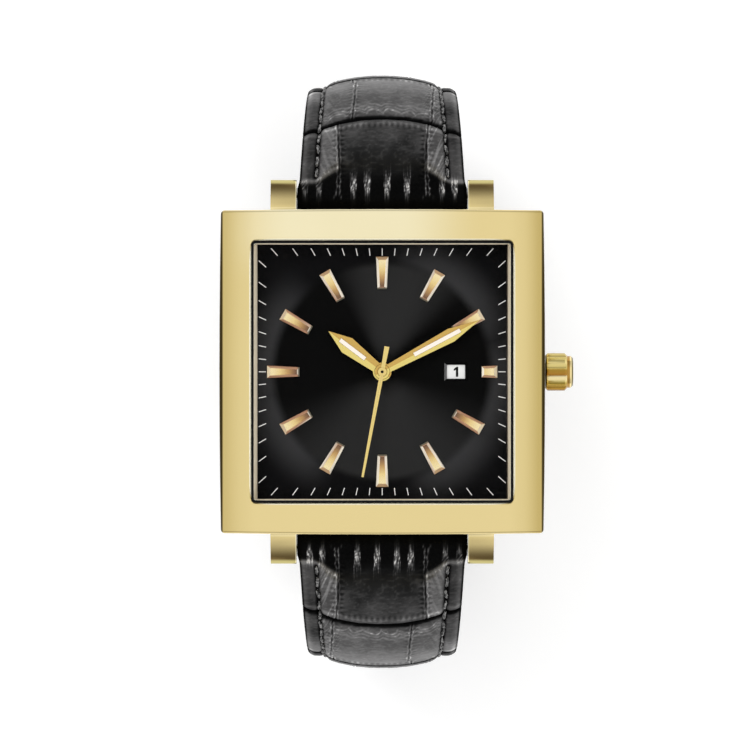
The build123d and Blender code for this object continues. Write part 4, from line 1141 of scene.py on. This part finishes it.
def leatherKeeper(name, node, body):
    build = keeperBuild
    low, high = [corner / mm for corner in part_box(node)]
    outerLoop = roundedLoop((low.x, low.z), (high.x, high.z), build["outerRadius"])
    innerLow = (low.x + build["sideWall"], low.z + build["lowWall"])
    innerHigh = (high.x - build["sideWall"], high.z - build["topWall"])
    innerLoop = roundedLoop(innerLow, innerHigh, build["innerRadius"])
    edge, middle = build["edge"], (low.y + high.y) / 2
    reach = (high.y - low.y) / 2 - edge
    edges, outside = keeperProfile()
    points, faces = [], []
    for (outerX, outerZ), (innerX, innerZ) in zip(outerLoop, innerLoop):
        wall = hypot(outerX - innerX, outerZ - innerZ)
        spots = []  # share of the wall's thickness, and place along the strap
        for away, aside, outer, side in edges:
            depth = 0.5 + outer * (0.5 - edge / wall) + away * edge / wall
            if outer > 0:
                depth -= build["crowning"] / wall
            spots.append((depth, middle + side * reach + aside * edge))
        spots += [(1 - drop / wall, middle + share * reach) for share, drop in outside]
        for depth, y in spots:
            points.append((innerX + (outerX - innerX) * depth, y, innerZ + (outerZ - innerZ) * depth))
    count, size = len(outerLoop), len(edges) + len(outside)
    for index in range(count):
        here, beyond = index * size, (index + 1) % count * size
        for step in range(size):
            after = (step + 1) % size
            faces.append((here + step, beyond + step, beyond + after, here + after))
    makePiece(name, points, faces, "keeper", body, (node,))


leatherKeeper("keeper_fixed_leather", "keeper_fixed", "case")
leatherKeeper("keeper_sliding_leather", "keeper_sliding", "loose_keeper")
print("keepers made")


# Slotted heads on the case back's screws

screwSlots = {"width": 0.28, "depth": 0.22, "turns": (20, 75, -35, 140)}


def slottedScrews():
    look, node = screwSlots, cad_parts["case_back_screws"]
    piece = linked("case_back_screws_slotted", node.data.copy())
    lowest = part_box("case_back_screws")[0].z / mm
    heads = [vertex.co / mm for vertex in node.data.vertices if vertex.co.z / mm < lowest + 0.01]
    cutters = []
    for turn, (signX, signY) in zip(look["turns"], ((1, 1), (-1, 1), (-1, -1), (1, -1))):
        ring = [head for head in heads if head.x * signX > 0 and head.y * signY > 0]
        radius = (max(head.x for head in ring) - min(head.x for head in ring)) / 2
        centre = sum(ring, Vector()) / len(ring)
        reach, half = radius * 1.2, look["width"] / 2
        cutter = boxCutter("slot", (-reach, -half, -1), (reach, half, look["depth"]))
        cutter.data.transform(Matrix.Translation(centre * mm) @ Matrix.Rotation(radians(turn), 4, "Z"))
        cutters.append(cutter)
    cutAway(piece, cutters)
    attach(piece, "case")
    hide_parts("case_back_screws")


slottedScrews()
print("screws slotted")


# Print on the dial and on the date ring

dialPrint = {"inner": 14.86, "outer": 15.79, "width": 0.1, "thickness": 0.01}


def minuteTrack():  # ticks that end on two squares round the dial
    look, points, faces = dialPrint, [], []
    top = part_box("dial")[1].z / mm
    for minute in range(60):
        angle = radians(6 * minute)
        dx, dy = sin(angle), cos(angle)
        corners = []
        for square, hand in (("outer", -1), ("outer", 1), ("inner", 1), ("inner", -1)):
            length, across = look[square] / max(abs(dx), abs(dy)), hand * look["width"] / 2
            corners.append((dx * length + dy * across, dy * length - dx * across))
        faces += tubeFaces(len(points), 2, len(corners))
        for z in (top, top + look["thickness"]):
            points += [(x, y, z) for x, y in corners]
    makePiece("minute_track_print", points, faces, "white", "case", smooth=False)


dateText = {
    "height": 1.75, "days": 31, "squeeze": 0.8, "twoFigures": 0.72, "lift": 0.004, "heft": 0.03,
    "ringFrom": 7.7, "one": [
        (0.42, 0), (0.42, 1.28), (0.14, 1.28), (-0.3, 1.0),
        (-0.3, 0.76), (-0.06, 0.84), (0.04, 0.9), (0.04, 0),
    ],
}


def numeralMesh(day):
    look = dateText
    if day == 1:  # the day that shows has the picture's own shape
        data = bpy.data.meshes.new("one")
        data.from_pydata([Vector((x, y, 0)) * mm for x, y in look["one"]], [], [range(len(look["one"]))])
        return data
    curve = bpy.data.curves.new("day", "FONT")
    curve.body = str(day)
    curve.align_x, curve.align_y = "CENTER", "CENTER"
    curve.size = look["height"] * mm
    curve.offset = look["heft"] * look["height"] * mm
    text = linked("day", curve)
    bpy.context.view_layer.update()
    graph = bpy.context.evaluated_depsgraph_get()
    data = bpy.data.meshes.new_from_object(text.evaluated_get(graph))
    bpy.data.objects.remove(text)
    return data


def dateNumerals():
    look, high = dateText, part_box("date_wheel")[1]
    middle = (high.x + look["ringFrom"] * mm) / 2
    place = Matrix.Translation((middle, 0, high.z + look["lift"] * mm))
    joined = bmesh.new()
    for day in range(1, look["days"] + 1):
        numeral = numeralMesh(day)
        squeeze = look["squeeze"] * (1 if day < 10 else look["twoFigures"])
        xs, ys = zip(*[vertex.co.xy for vertex in numeral.vertices])
        shift = Vector(((min(xs) + max(xs)) / 2, (min(ys) + max(ys)) / 2, 0))
        turn = Matrix.Rotation(-2 * pi * (day - 1) / look["days"], 4, "Z")
        numeral.transform(turn @ place @ Matrix.Diagonal((squeeze, 1, 1, 1)) @ Matrix.Translation(-shift))
        joined.from_mesh(numeral)
    data = bpy.data.meshes.new("date_numerals")
    joined.to_mesh(data)
    joined.free()
    data.materials.clear()
    data.materials.append(finishes["black"])
    piece = linked("date_numerals", data)
    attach(piece, "date")


minuteTrack()
dateNumerals()
print("print laid on dial and date ring")


# Floor, studio reflections, lamps and camera

studio = {
    "floorHalf": 3.0, "floorColours": ((0.86, 0.86, 0.86, 1), (0.84, 0.84, 0.84, 1)),
    "floorSeen": 0.17, "floorToCamera": 0.07,  # what makes the floor look white
    "tentRadius": 1.6, "tentFade": 0.4, "tentSides": 0.1, "world": 0.9,
    "lamps": {"key": ((-0.35, 0.45, 0.75), 0.45, 2.4), "fill": ((0.5, -0.4, 0.6), 0.5, 1.4)},
    "cameraHeight": 0.68, "cameraAside": (-0.92 * mm, -0.41 * mm), "viewWidth": 0.09545, "sensor": 36.0,
}


def makeFloor():
    finish = Finish("paleFloor")
    path = finish.node("ShaderNodeLightPath", out="Is Camera Ray")
    seen = path + path.part("Is Glossy Ray") + path.part("Is Transmission Ray")
    shade = finish.blend(finish.grain(finish.place(), 30), *studio["floorColours"])
    lift = seen * studio["floorSeen"] + path * studio["floorToCamera"]
    matte = finish.node("ShaderNodeBsdfDiffuse", None, {"Color": shade})
    glow = finish.node("ShaderNodeEmission", None, {"Color": (1, 1, 1, 1), "Strength": lift})
    half, low = studio["floorHalf"], cadBox[0].z
    corners = [(-half, -half, low), (half, -half, low), (half, half, low), (-half, half, low)]
    data = bpy.data.meshes.new("floor")
    data.from_pydata(corners, [], [(0, 1, 2, 3)])
    data.materials.append(finish.done(finish.node("ShaderNodeAddShader", None, {0: matte, 1: glow})))
    linked("floor", data)


def makeTent():  # what the polished pieces reflect
    finish = Finish("studioTent")
    at = finish.split(finish.place())
    x, y = [at.part(axis).maths("ABSOLUTE") / studio["tentRadius"] for axis in "XY"]
    glow = 1.0 - y.between(0.45, 0.97) * studio["tentFade"] + x.between(0.5, 0.9) * studio["tentSides"]
    data = bpy.data.meshes.new("studio_tent")
    shape = bmesh.new()
    bmesh.ops.create_uvsphere(shape, u_segments=48, v_segments=24, radius=studio["tentRadius"])
    low = [vertex for vertex in shape.verts if vertex.co.z < -0.05]
    bmesh.ops.delete(shape, geom=low, context="VERTS")
    shape.to_mesh(data)
    shape.free()
    shine = finish.node("ShaderNodeEmission", None, {"Color": (1, 1, 1, 1), "Strength": glow})
    data.materials.append(finish.done(shine))
    tent = linked("studio_tent", data)
    tent.visible_camera = tent.visible_diffuse = tent.visible_shadow = tent.visible_transmission = False


def makeLights():
    world = bpy.data.worlds.new("studio")
    bpy.context.scene.world = world
    world.use_nodes = True
    background = world.node_tree.nodes["Background"]
    background.inputs["Color"].default_value = (1, 1, 1, 1)
    background.inputs["Strength"].default_value = studio["world"]
    for name, (place, size, power) in studio["lamps"].items():
        lamp = bpy.data.lights.new(name, "AREA")
        lamp.size, lamp.energy = size, power
        holder = linked(name, lamp)
        holder.location = place
        holder.visible_glossy = False
        holder.rotation_euler = (-Vector(place)).to_track_quat("-Z", "Y").to_euler()


def makeCamera():
    data = bpy.data.cameras.new("camera")
    data.sensor_width = studio["sensor"]
    data.lens = studio["sensor"] * studio["cameraHeight"] / studio["viewWidth"]
    data.clip_start, data.clip_end = 0.01, 10
    camera = linked("camera", data)
    camera.location = (*studio["cameraAside"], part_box("bezel")[1].z + studio["cameraHeight"])
    bpy.context.scene.camera = camera


makeFloor()
makeTent()
makeLights()
makeCamera()
bpy.context.scene.view_settings.view_transform = "Standard"
print("studio ready")
